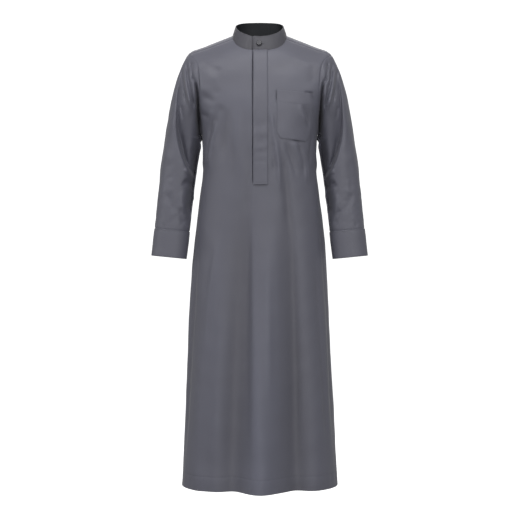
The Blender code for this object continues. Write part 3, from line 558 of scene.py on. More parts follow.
def backPanel():
    (left, leftStrip), (right, rightStrip) = backHalf(-1), backHalf(1)
    low = np.concatenate([lowerHalf(0.0, -1, 1)[:, ::-1], lowerHalf(0.0, 1, 1)[:, 1:]], axis=1)
    main = np.concatenate([low, np.concatenate([left[:, ::-1], right[:, 1:]], axis=1)])
    rows, columns = main.shape[:2]
    wide = len(columnShares) - neckCells
    extra = len(stripShares) - 1
    grid = np.concatenate([main, np.zeros((extra, columns, 3))])
    normals = np.concatenate([normalsOf(main, False, True), np.zeros((extra, columns, 3))])
    keep = np.ones((rows + extra - 1, columns - 1), bool)
    keep[rows - 1:, wide - 1:columns - wide] = False
    for part, strip in ((slice(0, wide), leftStrip[:, ::-1]), (slice(columns - wide, columns), rightStrip)):
        grid[rows:, part] = strip[1:]
        normals[rows - 1:, part] = normalsOf(grid[rows - 2:, part], False, True)[1:]
    return grid, normals, keep


def normalsOf(points, closed, flip):
    if closed:
        wide = np.concatenate([points[:, -1:], points, points[:, :1]], axis=1)
        across = (wide[:, 2:] - wide[:, :-2]) / 2
    else:
        across = np.gradient(points, axis=1)
    up = np.gradient(points, axis=0)
    return unit(np.cross(across, up)) * (-1 if flip else 1)


def shareNormals(grids):
    # pieces that meet at a seam turn the same way there
    found = {}
    for points, normals, edges in grids:
        for key in edges:
            found.setdefault(tuple(np.round(points[key] * 2e4).astype(int)), []).append((normals, key))
    for meeting in found.values():
        if len(meeting) > 1:
            mean = unit(sum(normals[key] for normals, key in meeting))
            for normals, key in meeting:
                normals[key] = mean


def edgeKeys(rows, columns, closed=False):
    keys = [(r, c) for r in (0, rows - 1) for c in range(columns)]
    if not closed:
        keys += [(r, c) for r in range(rows) for c in (0, columns - 1)]
    return sorted(set(keys))


def fromEdge(points, edge):
    # distance along the cloth from one edge of a grid
    if edge in ("start", "end"):
        run = np.linalg.norm(np.diff(points, axis=1), axis=2)
        run = np.concatenate([np.zeros((points.shape[0], 1)), np.cumsum(run, axis=1)], axis=1)
        return run if edge == "start" else run[:, -1:] - run
    run = np.linalg.norm(np.diff(points, axis=0), axis=2)
    run = np.concatenate([np.zeros((1, points.shape[1])), np.cumsum(run, axis=0)], axis=0)
    return run if edge == "foot" else run[-1:] - run


def dipOf(distance):
    return body["seamDip"] * bell(distance, body["seamWidth"])


def rounded(distance, half, least):
    # half the thickness of a doubled strip, thinner toward its edge
    return half * np.sqrt(1 - (1 - np.clip(distance / half, least, 1)) ** 2)


def newObject(name, data):
    made = bpy.data.objects.new(name, data)
    scene.collection.objects.link(made)
    return made


def clothWall(name, points, normals, outside, inside, closed=False, flip=False, keep=None, paintedShadeInside=False, paintedShadeByFold=None):
    rows, columns = points.shape[:2]
    outside = np.broadcast_to(outside, (rows, columns))
    inside = np.broadcast_to(inside, (rows, columns))
    if keep is None:
        keep = np.ones((rows - 1, columns if closed else columns - 1), bool)
    r, c = np.nonzero(keep)
    steps = ((0, 0), (0, 1), (1, 1), (1, 0))
    quads = np.stack([(r + up) * columns + (c + on) % columns for up, on in steps], axis=1)
    corners = np.stack([np.stack([r + up, c + on], 1) for up, on in steps], 1)
    if flip:
        quads, corners = quads[:, ::-1], corners[:, ::-1]
    count = rows * columns
    outer = (points + normals * outside[..., None]).reshape(-1, 3)
    inner = (points - normals * inside[..., None]).reshape(-1, 3)
    forward = set(zip(quads.reshape(-1).tolist(), np.roll(quads, -1, axis=1).reshape(-1).tolist()))
    rim = [(a, b) for a, b in forward if (b, a) not in forward]
    flat = points.reshape(-1, 3)
    turned = normals.reshape(-1, 3)
    push = {}
    for a, b in rim:
        out = np.cross(flat[b] - flat[a], turned[a] + turned[b])
        for i in (a, b):
            push[i] = push.get(i, 0) + out
    lips = {i: n for n, i in enumerate(sorted(push))}
    middle = np.zeros((len(lips), 3))
    for i, n in lips.items():
        half = (outside.reshape(-1)[i] + inside.reshape(-1)[i]) / 2
        middle[n] = (outer[i] + inner[i]) / 2 + unit(push[i]) * half * 0.8
    vertices = np.concatenate([outer, inner, middle])
    sides = []
    for a, b in rim:
        m, n = 2 * count + lips[a], 2 * count + lips[b]
        sides += [(b, a, m, n), (n, m, a + count, b + count)]
    faces = np.concatenate([quads, quads[:, ::-1] + count, np.array(sorted(sides))])
    used = np.unique(faces)
    place = np.full(len(vertices), -1)
    place[used] = np.arange(len(used))
    # the flat map, in metres of cloth
    wrapped = np.concatenate([points, points[:, :1]], axis=1) if closed else points
    u, v = fromEdge(wrapped, "start"), fromEdge(wrapped, "foot")
    flatMap = np.stack([u - u[:, wrapped.shape[1] // 2][:, None], v], axis=2)
    uvOuter = flatMap[corners[..., 0], corners[..., 1]]
    source = np.concatenate([np.arange(count), np.arange(count), np.array(sorted(lips), int)])
    uvSides = flatMap[:, :columns].reshape(-1, 2)[source[faces[2 * len(quads):]]]
    mesh = bpy.data.meshes.new(name)
    mesh.from_pydata(vertices[used].tolist(), [], place[faces].tolist())
    layer = mesh.uv_layers.new(name="cloth")
    layer.data.foreach_set("uv", np.concatenate([uvOuter, uvOuter[:, ::-1], uvSides]).reshape(-1).astype(np.float32))
    mesh.update()
    mesh.shade_smooth()
    # the fold rise kept on the cloth for painted shade and highlight: darker in valleys, lighter on crests
    if paintedShadeByFold is not None:
        paintedFoldShade = paintedShadeByFold.reshape(-1)[source][used]
        mesh.attributes.new("paintedFoldShade", "FLOAT", "POINT").data.foreach_set("value", paintedFoldShade.astype(np.float32))
    # the inner faces take a second, near-black material: painted shade inside the collar
    if paintedShadeInside:
        index = np.zeros(len(mesh.polygons), np.int32)
        index[len(quads):2 * len(quads)] = 1
        mesh.materials.append(None)
        mesh.materials.append(None)
        mesh.polygons.foreach_set("material_index", index)
    return newObject(name, mesh)


class Value:
    # a socket that adds up like a number
    def __init__(self, tree, socket):
        self.tree, self.socket = tree, socket

    def maths(self, operation, *others):
        node = self.tree.nodes.new("ShaderNodeMath")
        node.operation = operation
        for k, other in enumerate((self, *others)):
            if isinstance(other, Value):
                self.tree.links.new(other.socket, node.inputs[k])
            else:
                node.inputs[k].default_value = other
        return Value(self.tree, node.outputs[0])

    def __add__(self, other):
        return self.maths("ADD", other)

    def __mul__(self, other):
        return self.maths("MULTIPLY", other)

    def __sub__(self, other):
        return self.maths("SUBTRACT", other)

    def __rsub__(self, other):
        return (self * -1.0) + other

    __radd__, __rmul__ = __add__, __mul__

    def sine(self):
        return self.maths("SINE")

    def clamped(self):
        return self.maths("MAXIMUM", 0.0).maths("MINIMUM", 1.0)


class Shader:
    def __init__(self, name):
        self.material = bpy.data.materials.new(name)
        self.material.use_nodes = True
        self.tree = self.material.node_tree
        self.surface = self.tree.nodes["Principled BSDF"]

    def node(self, kind, settings=None, inputs=None, output=0):
        made = self.tree.nodes.new(kind)
        for key, value in (settings or {}).items():
            setattr(made, key, value)
        for key, value in (inputs or {}).items():
            if isinstance(value, Value):
                self.tree.links.new(value.socket, made.inputs[key])
            else:
                made.inputs[key].default_value = value
        return Value(self.tree, made.outputs[output])

    def noise(self, vector, **inputs):
        return self.node("ShaderNodeTexNoise", inputs={"Vector": vector, **inputs})

    def tones(self, level, tone, low, high):
        # the tone times low where the level is 0, and times high where it is 1
        low, high = ((*(c * k for c, k in zip(tone, by)), 1) for by in (low, high))
        return self.node("ShaderNodeMix", {"data_type": "RGBA"}, {0: level, 6: low, 7: high}, output=2)

    def feed(self, inputs):
        for name, value in inputs.items():
            if isinstance(value, Value):
                self.tree.links.new(value.socket, self.surface.inputs[name])
            else:
                self.surface.inputs[name].default_value = value


weave = {
    "thread": 0.00042,
    "slub": 0.144,
    "cloud": 0.15,
    # painted shade and highlight: how strongly the fold rise darkens valleys and lightens crests in the colour
    "paintedFoldShade": 0.26,
    # the rise that counts as a full crest in the painted fold shade, and the weight of the smaller folds in it
    "fullCrest": 0.03,
    "smallFolds": 2.2,
    "crossing": 0.04,
    # colour at the low and high ends of the tone level; the level also carries the painted fold shade, so shaded
    # valleys turn warmer and darker and lit crests bluer and lighter
    "low": (0.80, 0.77, 0.72),
    "high": (1.20, 1.23, 1.28),
    "bump": 0.35,
    "roughness": 0.50,
}


def clothMaterial(name, tone, shine=0.65, sheen=0.12):
    s = Shader(name)
    uv = s.node("ShaderNodeUVMap", {"uv_map": "cloth"})
    across = s.node("ShaderNodeSeparateXYZ", inputs={0: uv})
    up = Value(s.tree, across.socket.node.outputs[1])
    turn = math.pi / weave["thread"]
    cross = (across * turn).sine() * (up * turn).sine()
    warp, weft = (
        s.noise(s.node("ShaderNodeMapping", inputs={"Vector": uv, "Scale": scale}), Scale=1.0, Detail=1.0)
        for scale in ((2600.0, 60.0, 1.0), (60.0, 2600.0, 1.0))
    )
    cloud = s.noise(s.node("ShaderNodeTexCoord", output=3), Scale=11.0, Detail=3.0, Roughness=0.55)
    threads = (warp + weft) * 0.5 - 0.5
    # painted shade and highlight from the fold rise: darker in valleys, lighter on crests
    paintedFoldShade = s.node("ShaderNodeAttribute", {"attribute_name": "paintedFoldShade"}, output=2)
    level = threads * weave["slub"] + (cloud - 0.5) * weave["cloud"] + cross * weave["crossing"]
    level = level + paintedFoldShade * weave["paintedFoldShade"] + 0.5
    height = cross * 0.5 + threads * 1.4
    bump = {"Height": height, "Strength": weave["bump"], "Distance": 0.00022}
    s.feed({
        "Base Color": s.tones(level.clamped(), tone, weave["low"], weave["high"]),
        "Roughness": cross * -0.04 + threads * 0.12 + weave["roughness"],
        "Normal": s.node("ShaderNodeBump", inputs=bump),
        "Specular IOR Level": shine,
        "Sheen Weight": sheen,
        "Sheen Roughness": 0.45,
    })
    return s.material


def grainMaterial(name, tone, grain, spread, rough, bump, more):
    s = Shader(name)
    level = s.noise(s.node("ShaderNodeTexCoord", output=3), **grain)
    s.feed({
        "Base Color": s.tones(level, tone, (spread[0],) * 3, (spread[1],) * 3),
        "Roughness": level * rough[0] + rough[1],
        "Normal": s.node("ShaderNodeBump", inputs={"Height": level, "Strength": bump[0], "Distance": bump[1]}),
        **more,
    })
    return s.material


def threadMaterial(name, tone):
    grain = {"Scale": 2400.0, "Detail": 1.0}
    return grainMaterial(name, tone, grain, (0.8, 1.2), (0.2, 0.5), (0.4, 0.0001), {"Sheen Weight": 0.2})


def buttonMaterial(name, tone):
    grain = {"Scale": 260.0, "Detail": 4.0, "Distortion": 1.6}
    shine = {"Specular IOR Level": 0.3}
    return grainMaterial(name, tone, grain, (0.78, 1.25), (0.15, 0.48), (0.1, 0.0002), shine)


charcoal = (0.1135, 0.1142, 0.1455)
clothBody = clothMaterial("bodyCloth", charcoal)
clothSleeve = clothMaterial("sleeveCloth", tuple(c * 0.99 for c in charcoal))
clothBand = clothMaterial("bandCloth", tuple(c * 0.97 for c in charcoal))
# the same cloth in a darker copy: painted shade on the upright collar
clothCollarPaintedShade = clothMaterial("collarClothPaintedShade", (0.069, 0.068, 0.082), 0.40)
# near-black inside of the collar band: painted shade
paintedShadeLining = clothMaterial("collarInsidePaintedShade", (0.0190, 0.0208, 0.0240), 0.20, 0.03)
clothPlacket = clothMaterial("placketCloth", tuple(c * 1.03 for c in charcoal))
clothPocket = clothMaterial("pocketCloth", tuple(c * 1.08 for c in charcoal))
sewingThread = threadMaterial("sewingThread", (0.096, 0.097, 0.116))
buttonShell = buttonMaterial("buttonShell", (0.220, 0.220, 0.236))
# near-black: painted shadow round the button's edge and painted shade in its dish
buttonPaintedShade = buttonMaterial("buttonPaintedShade", (0.022, 0.022, 0.026))


def finishPiece(piece, material, nodes, paintedShadeMaterial=None):
    # the second material goes on inner or recessed faces as painted shade
    if paintedShadeMaterial:
        piece.data.materials[0], piece.data.materials[1] = material, paintedShadeMaterial
    else:
        piece.data.materials.clear()
        piece.data.materials.append(material)
    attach(piece, "root")
    if nodes:
        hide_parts(*nodes)
    return piece


def stitchTree(name, material):
    tree = bpy.data.node_groups.new(name, "GeometryNodeTree")
    for label, way, kind, value in (
        ("Line", "INPUT", "Geometry", None), ("Pitch", "INPUT", "Float", 0.0032), ("Length", "INPUT", "Float", 0.0024),
        ("Thread", "INPUT", "Float", 0.0005), ("Seed", "INPUT", "Int", 7), ("Stitches", "OUTPUT", "Geometry", None),
    ):
        socket = tree.interface.new_socket(label, in_out=way, socket_type="NodeSocket" + kind)
        if value is not None:
            socket.default_value = value
    nodes = {}
    # thin: one less the square of the share of the length, so that a stitch is thickest in its middle
    for key, kind, settings, inputs in (
        ("start", "NodeGroupInput", {}, {}),
        ("end", "NodeGroupOutput", {}, {}),
        ("curve", "GeometryNodeMeshToCurve", {}, {}),
        ("spaced", "GeometryNodeResampleCurve", {"mode": "LENGTH"}, {}),
        ("stitch", "GeometryNodeMeshCylinder", {"fill_type": "TRIANGLE_FAN"}, {"Vertices": 6, "Side Segments": 3}),
        ("shaped", "GeometryNodeSetPosition", {}, {}),
        ("parts", "ShaderNodeSeparateXYZ", {}, {}),
        ("joined", "ShaderNodeCombineXYZ", {}, {}),
        ("position", "GeometryNodeInputPosition", {}, {}),
        ("tangent", "GeometryNodeInputTangent", {}, {}),
        ("turn", "FunctionNodeAlignRotationToVector", {"axis": "Z"}, {}),
        ("place", "GeometryNodeInstanceOnPoints", {}, {}),
        ("uneven", "FunctionNodeRandomValue", {"data_type": "FLOAT"}, {2: 0.86, 3: 1.06}),
        ("real", "GeometryNodeRealizeInstances", {}, {}),
        ("smoothed", "GeometryNodeSetShadeSmooth", {}, {}),
        ("paint", "GeometryNodeSetMaterial", {}, {"Material": material}),
        ("half", "ShaderNodeMath", {"operation": "MULTIPLY"}, {1: 0.5}),
        ("ratio", "ShaderNodeMath", {"operation": "DIVIDE"}, {}),
        ("square", "ShaderNodeMath", {"operation": "MULTIPLY"}, {}),
        ("thin", "ShaderNodeMath", {"operation": "SUBTRACT"}, {0: 1.0}),
        ("double", "ShaderNodeMath", {"operation": "MULTIPLY_ADD"}, {1: 2.2, 2: -1.2}),
        ("scaleX", "ShaderNodeMath", {"operation": "MULTIPLY"}, {}),
        ("scaleY", "ShaderNodeMath", {"operation": "MULTIPLY"}, {}),
    ):
        nodes[key] = tree.nodes.new(kind)
        for name, value in settings.items():
            setattr(nodes[key], name, value)
        for name, value in inputs.items():
            nodes[key].inputs[name].default_value = value
    # from a node's output to a node's input
    for link in (
        "start Line curve Mesh", "curve Curve spaced Curve", "start Pitch spaced Length", "start Thread half 0",
        "half 0 stitch Radius", "start Length stitch Depth", "position 0 parts 0", "parts Z ratio 0",
        "start Length ratio 1", "ratio 0 square 0", "ratio 0 square 1", "square 0 thin 1", "thin 0 double 0",
        "parts X scaleX 0", "double 0 scaleX 1", "parts Y scaleY 0", "double 0 scaleY 1", "scaleX 0 joined X",
        "scaleY 0 joined Y", "parts Z joined Z", "stitch Mesh shaped Geometry", "joined 0 shaped Position",
        "spaced Curve place Points", "shaped Geometry place Instance", "tangent 0 turn Vector",
        "turn 0 place Rotation", "start Seed uneven Seed", "uneven 1 place Scale", "place Instances real Geometry",
        "real Geometry smoothed Geometry", "smoothed 0 paint Geometry", "paint Geometry end Stitches",
    ):
        source, out, target, into = (int(word) if word.isdigit() else word for word in link.split())
        tree.links.new(nodes[source].outputs[out], nodes[target].inputs[into])
    return tree


stitchRows = {"pitch": 0.0032, "length": 0.0026, "thread": 0.00042, "lift": 0.00005}
sewingTree = stitchTree("sewingRow", sewingThread)


def sewn(name, lines, seed, pitch=stitchRows["pitch"], length=stitchRows["length"]):
    # lines: arrays of points that lie on the cloth; each becomes a row of stitches
    vertices, edges = [], []
    for line in lines:
        base = len(vertices)
        vertices += [tuple(p) for p in line]
        edges += [(base + k, base + k + 1) for k in range(len(line) - 1)]
    mesh = bpy.data.meshes.new(name + "Path")
    mesh.from_pydata(vertices, edges, [])
    path = newObject(name + "Path", mesh)
    modifier = path.modifiers.new("rows", "NODES")
    modifier.node_group = sewingTree
    sockets = {item.name: item.identifier for item in sewingTree.interface.items_tree if item.in_out == "INPUT"}
    for label, value in (("Pitch", pitch), ("Length", length), ("Thread", stitchRows["thread"]), ("Seed", seed)):
        modifier[sockets[label]] = value
    graph = bpy.context.evaluated_depsgraph_get()
    made = bpy.data.meshes.new_from_object(path.evaluated_get(graph))
    bpy.data.objects.remove(path)
    piece = newObject(name, made)
    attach(piece, "root")
    print("stitches:", name, len(made.polygons))
    return piece


# front, back and sleeves
front, frontKeep = frontPanel()
frontNormals = normalsOf(front, False, False)
back, backNormals, backKeep = backPanel()
print("panels:", front.shape, back.shape)

arm = {
    "tilt": math.radians(5.7),
    # height, axis from centre, axis forward, half width, half depth
    "sections": metres((
        (-334.6, 235, 1, 55.3, 66), (-380.7, 243, 0, 54.8, 64), (-442.1, 251.1, -2, 54.1, 59),
        (-503.5, 257.8, -6, 53.8, 53), (-564.9, 264, -11, 53.3, 46), (-597, 267.2, -14, 53, 43),
        (-626.3, 270.3, -17, 53.3, 41), (-679, 276.2, -22, 53, 39),
    )),
    "capRings": 74,
    "rings": 84,
    "cuffTop": -0.5972,
    "cuffDepth": 0.082,
    "around": 0.058,
    "ringPower": 0.9,
    "reach": 0.055,
    # steps of the cap beside the armhole seam, then even ones
    "seamSteps": (0, 0.006, 0.014, 0.026, 0.042),
    "evenFrom": 0.066,
    "rowsFrom": -0.338,
    "rowsTo": -0.5985,
    # how far down the sleeve lies against the body, over what height it leaves, and the gap
    "contactFoot": -0.328,
    "contactFade": 0.014,
    "contactGap": 0.0017,
    # how wide the touching side is at the underarm and what it grows by, in radians
    "contactSpread": (0.12, 0.48),
    "contactShare": 1.3,
    # the way the cloth leaves the armhole: out, more so at the underarm, aside, down at the top
    "leave": (0.75, 0.25, 0.28, 0.435),
    "arrive": 1.35,
    # folds die away beside the cuff, beside the armhole and on the inner side
    "fadeFoot": 0.007,
    "fadeHead": 0.016,
    "fadeInner": (0.88, 0.36),
    "gathered": (0.0014, 0.0045),
    "secondApart": 0.05,
    # seen from the front
    "frontFolds": folds((
        (3.6, 7, 0, 214, -78, 206, -120, 196, -162, 186, -212),
        (4.2, -15, 0, 208, -88, 203, -130, 194, -166),
        (5.2, -34, 0, 194.5, -146, 188.5, -176, 184, -206, 183.8, -264, 183, -300),
        (7.4, -31, 0, 183, -180, 180.5, -230, 180.8, -345),
        (13.5, -40, 0, 186, -280, 188, -350, 194, -430, 204, -500, 211, -590),
        (4.2, 7, 0, 229, -95, 220.1, -170, 210.4, -210, 195, -256),
        (5, -12, 0, 221.5, -78, 212, -150, 202, -200, 192, -250),
        (5, -9, 0, 236, -95, 230, -150, 222, -204, 218, -230),
        (
            18, -23, 0.78, 233, -110, 241.5, -170, 245, -235, 245.5, -285, 241.5, -325, 232.5, -362, 220, -396,
            205, -424, 188, -443, 164, -462,
        ),
        (6, -9, 0, 240, -300, 232, -350, 223, -385, 206, -420, 180, -440),
        (11, 4, -0.3, 260, -190, 262, -260, 260, -320, 253, -370),
        (4.5, -3, 0, 235.8, -220, 229, -268),
        (5.5, 4, 0.2, 228, -414, 212, -430, 196, -444),
        (11, -8, -0.2, 230, -449, 215, -458, 190, -464),
        (6, 3.4, 0, 215, -472, 198, -483),
        (9, -7, 0.3, 196, -486, 208, -516, 218, -548),
        (8, 2.8, 0, 234, -480, 232, -520, 226, -560),
        (10, -2.6, 0.2, 284, -480, 268, -520, 252, -550),
        (8, 1.6, 0, 270, -440, 264, -490),
        (8, -3, 0, 246, -530, 234, -555, 229, -588),
        (12, -2.4, 0, 272, -380, 274, -440, 270, -490),
        (10, 2.2, 0, 285, -300, 286, -400),
    )),
    # across here is in degrees round the arm: 0 is the outer side, 180 the inner
    "aroundFolds": folds((
        (12, -6, 0, 262, -215, 254, -320, 240, -420),
        (10, 4, 0, 282, -200, 272, -310, 262, -400),
        (10, -7, 0, 266, -420, 240, -458, 212, -476),
        (8, 4.5, 0, 272, -445, 244, -482, 216, -500),
        (10, -6, 0, 280, -512, 250, -542, 222, -556),
        (8, 3.4, 0, 290, -480, 300, -540),
        (10, -4.6, 0, 330, -160, 334, -270, 326, -380),
        (11, 3.4, 0, 350, -220, 352, -350, 346, -470),
        (8, -3.4, 0, 196, -350, 198, -440),
        (8, -5, 0, 170, -462, 200, -470, 230, -462),
        (8, 3.6, 0, 168, -488, 198, -494, 226, -486),
        (9, -5, 0, 150, -520, 180, -524, 206, -516),
        (6, -4, 0, 228, -90, 236, -150, 240, -220),
        (6, 3.4, 0, 246, -86, 256, -150, 264, -216),
        (5, -1.2, 0, 20, -560, 16, -594),
        (5, -1, 0, 62, -568, 66, -596),
        (5, -1, 0, 316, -566, 318, -596),
        (5, -2.6, 0, 228, -568, 226, -596),
    ), 1),
}


def armRing(height, angles):
    across, forward, half, depth = (column(arm["sections"], 0, height, k) for k in (1, 2, 3, 4))
    out, ahead = (
        np.sign(part) * np.abs(part) ** arm["ringPower"] * size
        for part, size in ((np.cos(angles), half), (np.sin(angles), depth))
    )
    x = across + out * math.cos(arm["tilt"])
    return np.stack([x, forward - ahead, height + out * math.sin(arm["tilt"])], axis=1)


def sleeveRise(points, angles, variant):
    # the second sleeve has its folds a little apart from the first one's
    z = points[..., 2]
    turned = np.broadcast_to(np.mod(angles, 2 * math.pi), z.shape)
    wide = arm["around"]
    shift = arm["secondApart"] * variant
    ahead = easing(-normalsOf(points, True, True)[..., 1] / 0.5)

    def seenPlace(x, h):
        return x + shift * 0.02, h + shift * 0.06

    def roundPlace(degrees, h):
        return math.radians(degrees) * wide, h - shift * 0.1

    def wrappedPlace(degrees, h):
        return math.radians(degrees - 360) * wide, h

    straight = ahead * foldRise(points[..., 0], z, arm["frontFolds"], seenPlace)
    # folds near the outer side reach past the angle where the ring starts
    reaching = [fold for fold in arm["aroundFolds"] if fold[3][0][0] > 300]
    total = foldRise(turned * wide, z, arm["aroundFolds"], roundPlace)
    total = total + foldRise((turned - 2 * math.pi) * wide, z, reaching, wrappedPlace) * (turned < math.pi)
    share, spread = arm["fadeInner"]
    total = total * (1 - share * bell(turned - math.pi, spread))
    low = easing((-0.40 - z) / 0.1)
    total = total + uneven("sleeve", np.sin(turned) * 0.06, z + 0.05 * np.cos(turned), variant)
    total = total + low * uneven("lowSleeve", np.cos(turned) * 0.06, z, variant)
    return total, straight


def sleeveGrid(armhole, rows, variant):
    run = runOf(np.concatenate([armhole, armhole[:1]]))
    around = 2 * math.pi * run[:-1] / run[-1]
    angles = math.pi - around
    swing = np.cos(around)
    out, more, aside, down = arm["leave"]
    leave = unit(np.stack([out + more * swing, -aside * np.sin(around), -down + down * swing], axis=1))
    arrive = unit(np.array([math.sin(arm["tilt"]) * arm["arrive"], 0.0, -math.cos(arm["tilt"])]))
    first = armRing(rows[0], angles)
    reach = np.maximum(np.linalg.norm(first - armhole, axis=1)[:, None], arm["reach"])
    rings = []
    for t in np.concatenate([arm["seamSteps"], np.linspace(arm["evenFrom"], 1, arm["capRings"])])[:-1]:
        a, b = (1 + 2 * t) * (1 - t) ** 2, t * (1 - t) ** 2
        c, d = t * t * (3 - 2 * t), t * t * (t - 1)
        rings.append(a * armhole + b * reach * leave + c * first + d * reach * arrive)
    grid = np.stack(rings + [armRing(height, angles) for height in rows])
    # under the arm the sleeve lies against the body for the first few centimetres
    z = grid[..., 2]
    least, growth = arm["contactSpread"]
    spread = least + growth * easing((body["underarm"] - z) / arm["contactFade"])
    inner = np.minimum(arm["contactShare"] * bell((np.mod(angles, 2 * math.pi) - math.pi)[None], spread), 1)
    touching = inner * easing((z - arm["contactFoot"]) / arm["contactFade"]) * (z < body["underarm"])
    bodySide = bodyPoint(halfWidth(z) * 0.9999, z, -1, grooves=False)[..., 0]
    grid[..., 0] -= (grid[..., 0] - bodySide - arm["contactGap"]) * touching
    normals = normalsOf(grid, True, True)
    rise, straight = sleeveRise(grid, angles[None], variant)
    fromHead = fromEdge(grid, "head")
    fade = easing(fromEdge(grid, "foot") / arm["fadeFoot"]) * easing(fromHead / arm["fadeHead"])
    depth, width = arm["gathered"]
    grid = grid + normals * (rise * fade * (1 - 0.8 * touching) - depth * bell(fromHead, width))[..., None]
    grid[..., 1] -= straight * fade
    return grid, angles


def mirrored(grid):
    return grid * np.array([-1, 1, 1])


armhole = np.concatenate([front[len(skirtRows):, -1], back[len(skirtRows) + 1:-1, -1][::-1]])
armRows = np.linspace(arm["rowsFrom"], arm["rowsTo"], arm["rings"])
sleeveLeft, armAngles = sleeveGrid(armhole, armRows, 0)
sleeveRight = mirrored(sleeveGrid(armhole, armRows, 1)[0])
leftNormals = normalsOf(sleeveLeft, True, True)
rightNormals = mirrored(normalsOf(mirrored(sleeveRight), True, True))

shareNormals(
    [
        (front, frontNormals, edgeKeys(*front.shape[:2])),
        (back, backNormals, [k for k in edgeKeys(*back.shape[:2]) if np.abs(backNormals[k]).sum() > 0]),
        (sleeveLeft, leftNormals, edgeKeys(*sleeveLeft.shape[:2], True)),
        (sleeveRight, rightNormals, edgeKeys(*sleeveRight.shape[:2], True)),
    ]
)

# the cloth sinks a little at the seams
for points, normals, edges in (
    (front, frontNormals, ("head", "start", "end")),
    (back, backNormals, ("head", "start", "end")),
    (sleeveLeft, leftNormals, ("foot",)),
    (sleeveRight, rightNormals, ("foot",)),
):
    points -= normals * np.max([dipOf(fromEdge(points, edge)) for edge in edges], axis=0)[..., None]

# the hem is drawn in at its stitches and ropes a little above them
hem = {
    "stitchWidth": 0.0016,
    "stitchDip": 0.0004,
    "rope": 0.00030,
    "ropePitch": 0.0045,
    "ropeDrift": 0.05,
    "ropeAbove": 0.012,
    "ropeWidth": 0.014,
}
hemSink = hem["stitchDip"] * bell(skirtRows - body["hemLine"], hem["stitchWidth"])[:, None]
for points, normals in ((front, frontNormals), (back, backNormals)):
    run = fromEdge(points[: len(skirtRows)], "start")
    rope = hem["rope"] * np.sin(run / hem["ropePitch"] + 2 * np.sin(run / hem["ropeDrift"]))
    rope = rope * bell(skirtRows[:, None] - body["hemLine"] + hem["ropeAbove"], hem["ropeWidth"])
    points[: len(skirtRows)] += normals[: len(skirtRows)] * (rope - hemSink)[..., None]

half = body["cloth"] / 2
for name, points, normals, side, keep, flat, area in (
    ("front", front, frontNormals, -1, frontKeep, (0.70, 1.37), 0.70),
    ("back", back, backNormals, 1, backKeep, (0.70, 1.42), 0.75),
):
    x, z = points[..., 0], points[..., 2]
    turnUp = np.clip((body["hemLine"] + hem["stitchWidth"] - z) / hem["stitchWidth"], 0, 1)
    turnUp[len(skirtRows):] = 0
    inside = half + body["hemTurn"] * turnUp
    # painted shade and highlight: the fold rise, to darken valleys and lighten crests in the colour
    paintedShadeByFold = skirtRise(x, z, skirtFolds[name], body["earlyGrowth"]) + weave["smallFolds"] * smallRise(x, z, side)
    paintedShadeByFold = paintedShadeByFold / weave["fullCrest"]
    piece = clothWall(name + "Panel", points, normals, half, inside, False, side > 0, keep, paintedShadeByFold=paintedShadeByFold)
    finishPiece(piece, clothBody, [name])
    print(name, len(piece.data.polygons))

for name, node, points, normals, flip in (
    ("sleeveLeft", "sleeve_left", sleeveLeft, leftNormals, True),
    ("sleeveRight", "sleeve_right", sleeveRight, rightNormals, False),
):
    piece = clothWall(name, points, normals, half, half, True, flip)
    finishPiece(piece, clothSleeve, [node])
    print(name, len(piece.data.polygons))

# cuffs
cuff = {
    # down from the seam, as shares of the depth
    "rows": (0, 0.004, 0.012, 0.022, 0.034, 0.05, 0.12, 0.25, 0.40, 0.55, 0.70, 0.85, 0.95, 0.978, 0.99, 1),
    "stitchRows": (4, 12),
    "half": 0.0013,
    "fullness": 0.0004,
    "stitchIn": 0.0030,
    "stitchWidth": 0.0010,
    "stitchDip": 0.0004,
}
cuffShares = np.array(cuff["rows"], float)
cuffLeft = np.stack([armRing(arm["cuffTop"] - arm["cuffDepth"] * t, armAngles) for t in cuffShares])
cuffWave = uneven("cuff", armAngles[None] * 0.04, cuffLeft[..., 2]) * np.sin(math.pi * cuffShares)[:, None]
cuffEdge = np.minimum(cuffShares, 1 - cuffShares) * arm["cuffDepth"]
cuffHalf = rounded(cuffEdge, cuff["half"], 0.12)[:, None]
cuffDip = cuff["stitchDip"] * bell(cuffEdge - cuff["stitchIn"], cuff["stitchWidth"])[:, None]
outside = cuffHalf - cuffDip + cuff["fullness"] * (cuffShares < 0.5)[:, None]
for name, node, points, flip in (
    ("cuffLeft", "cuff_left", cuffLeft, True),
    ("cuffRight", "cuff_right", mirrored(cuffLeft), False),
):
    normals = normalsOf(points, True, flip)
    points = points + normals * cuffWave[..., None]
    piece = clothWall(name, points, normals, outside, cuffHalf, True, flip)
    finishPiece(piece, clothBand, [node])
    surface = points + normals * (outside[..., None] + 2 * stitchRows["lift"])
    rows = [np.concatenate([surface[k], surface[k, :1]]) for k in cuff["stitchRows"]]
    sewn(name + "Stitches", rows, 11)

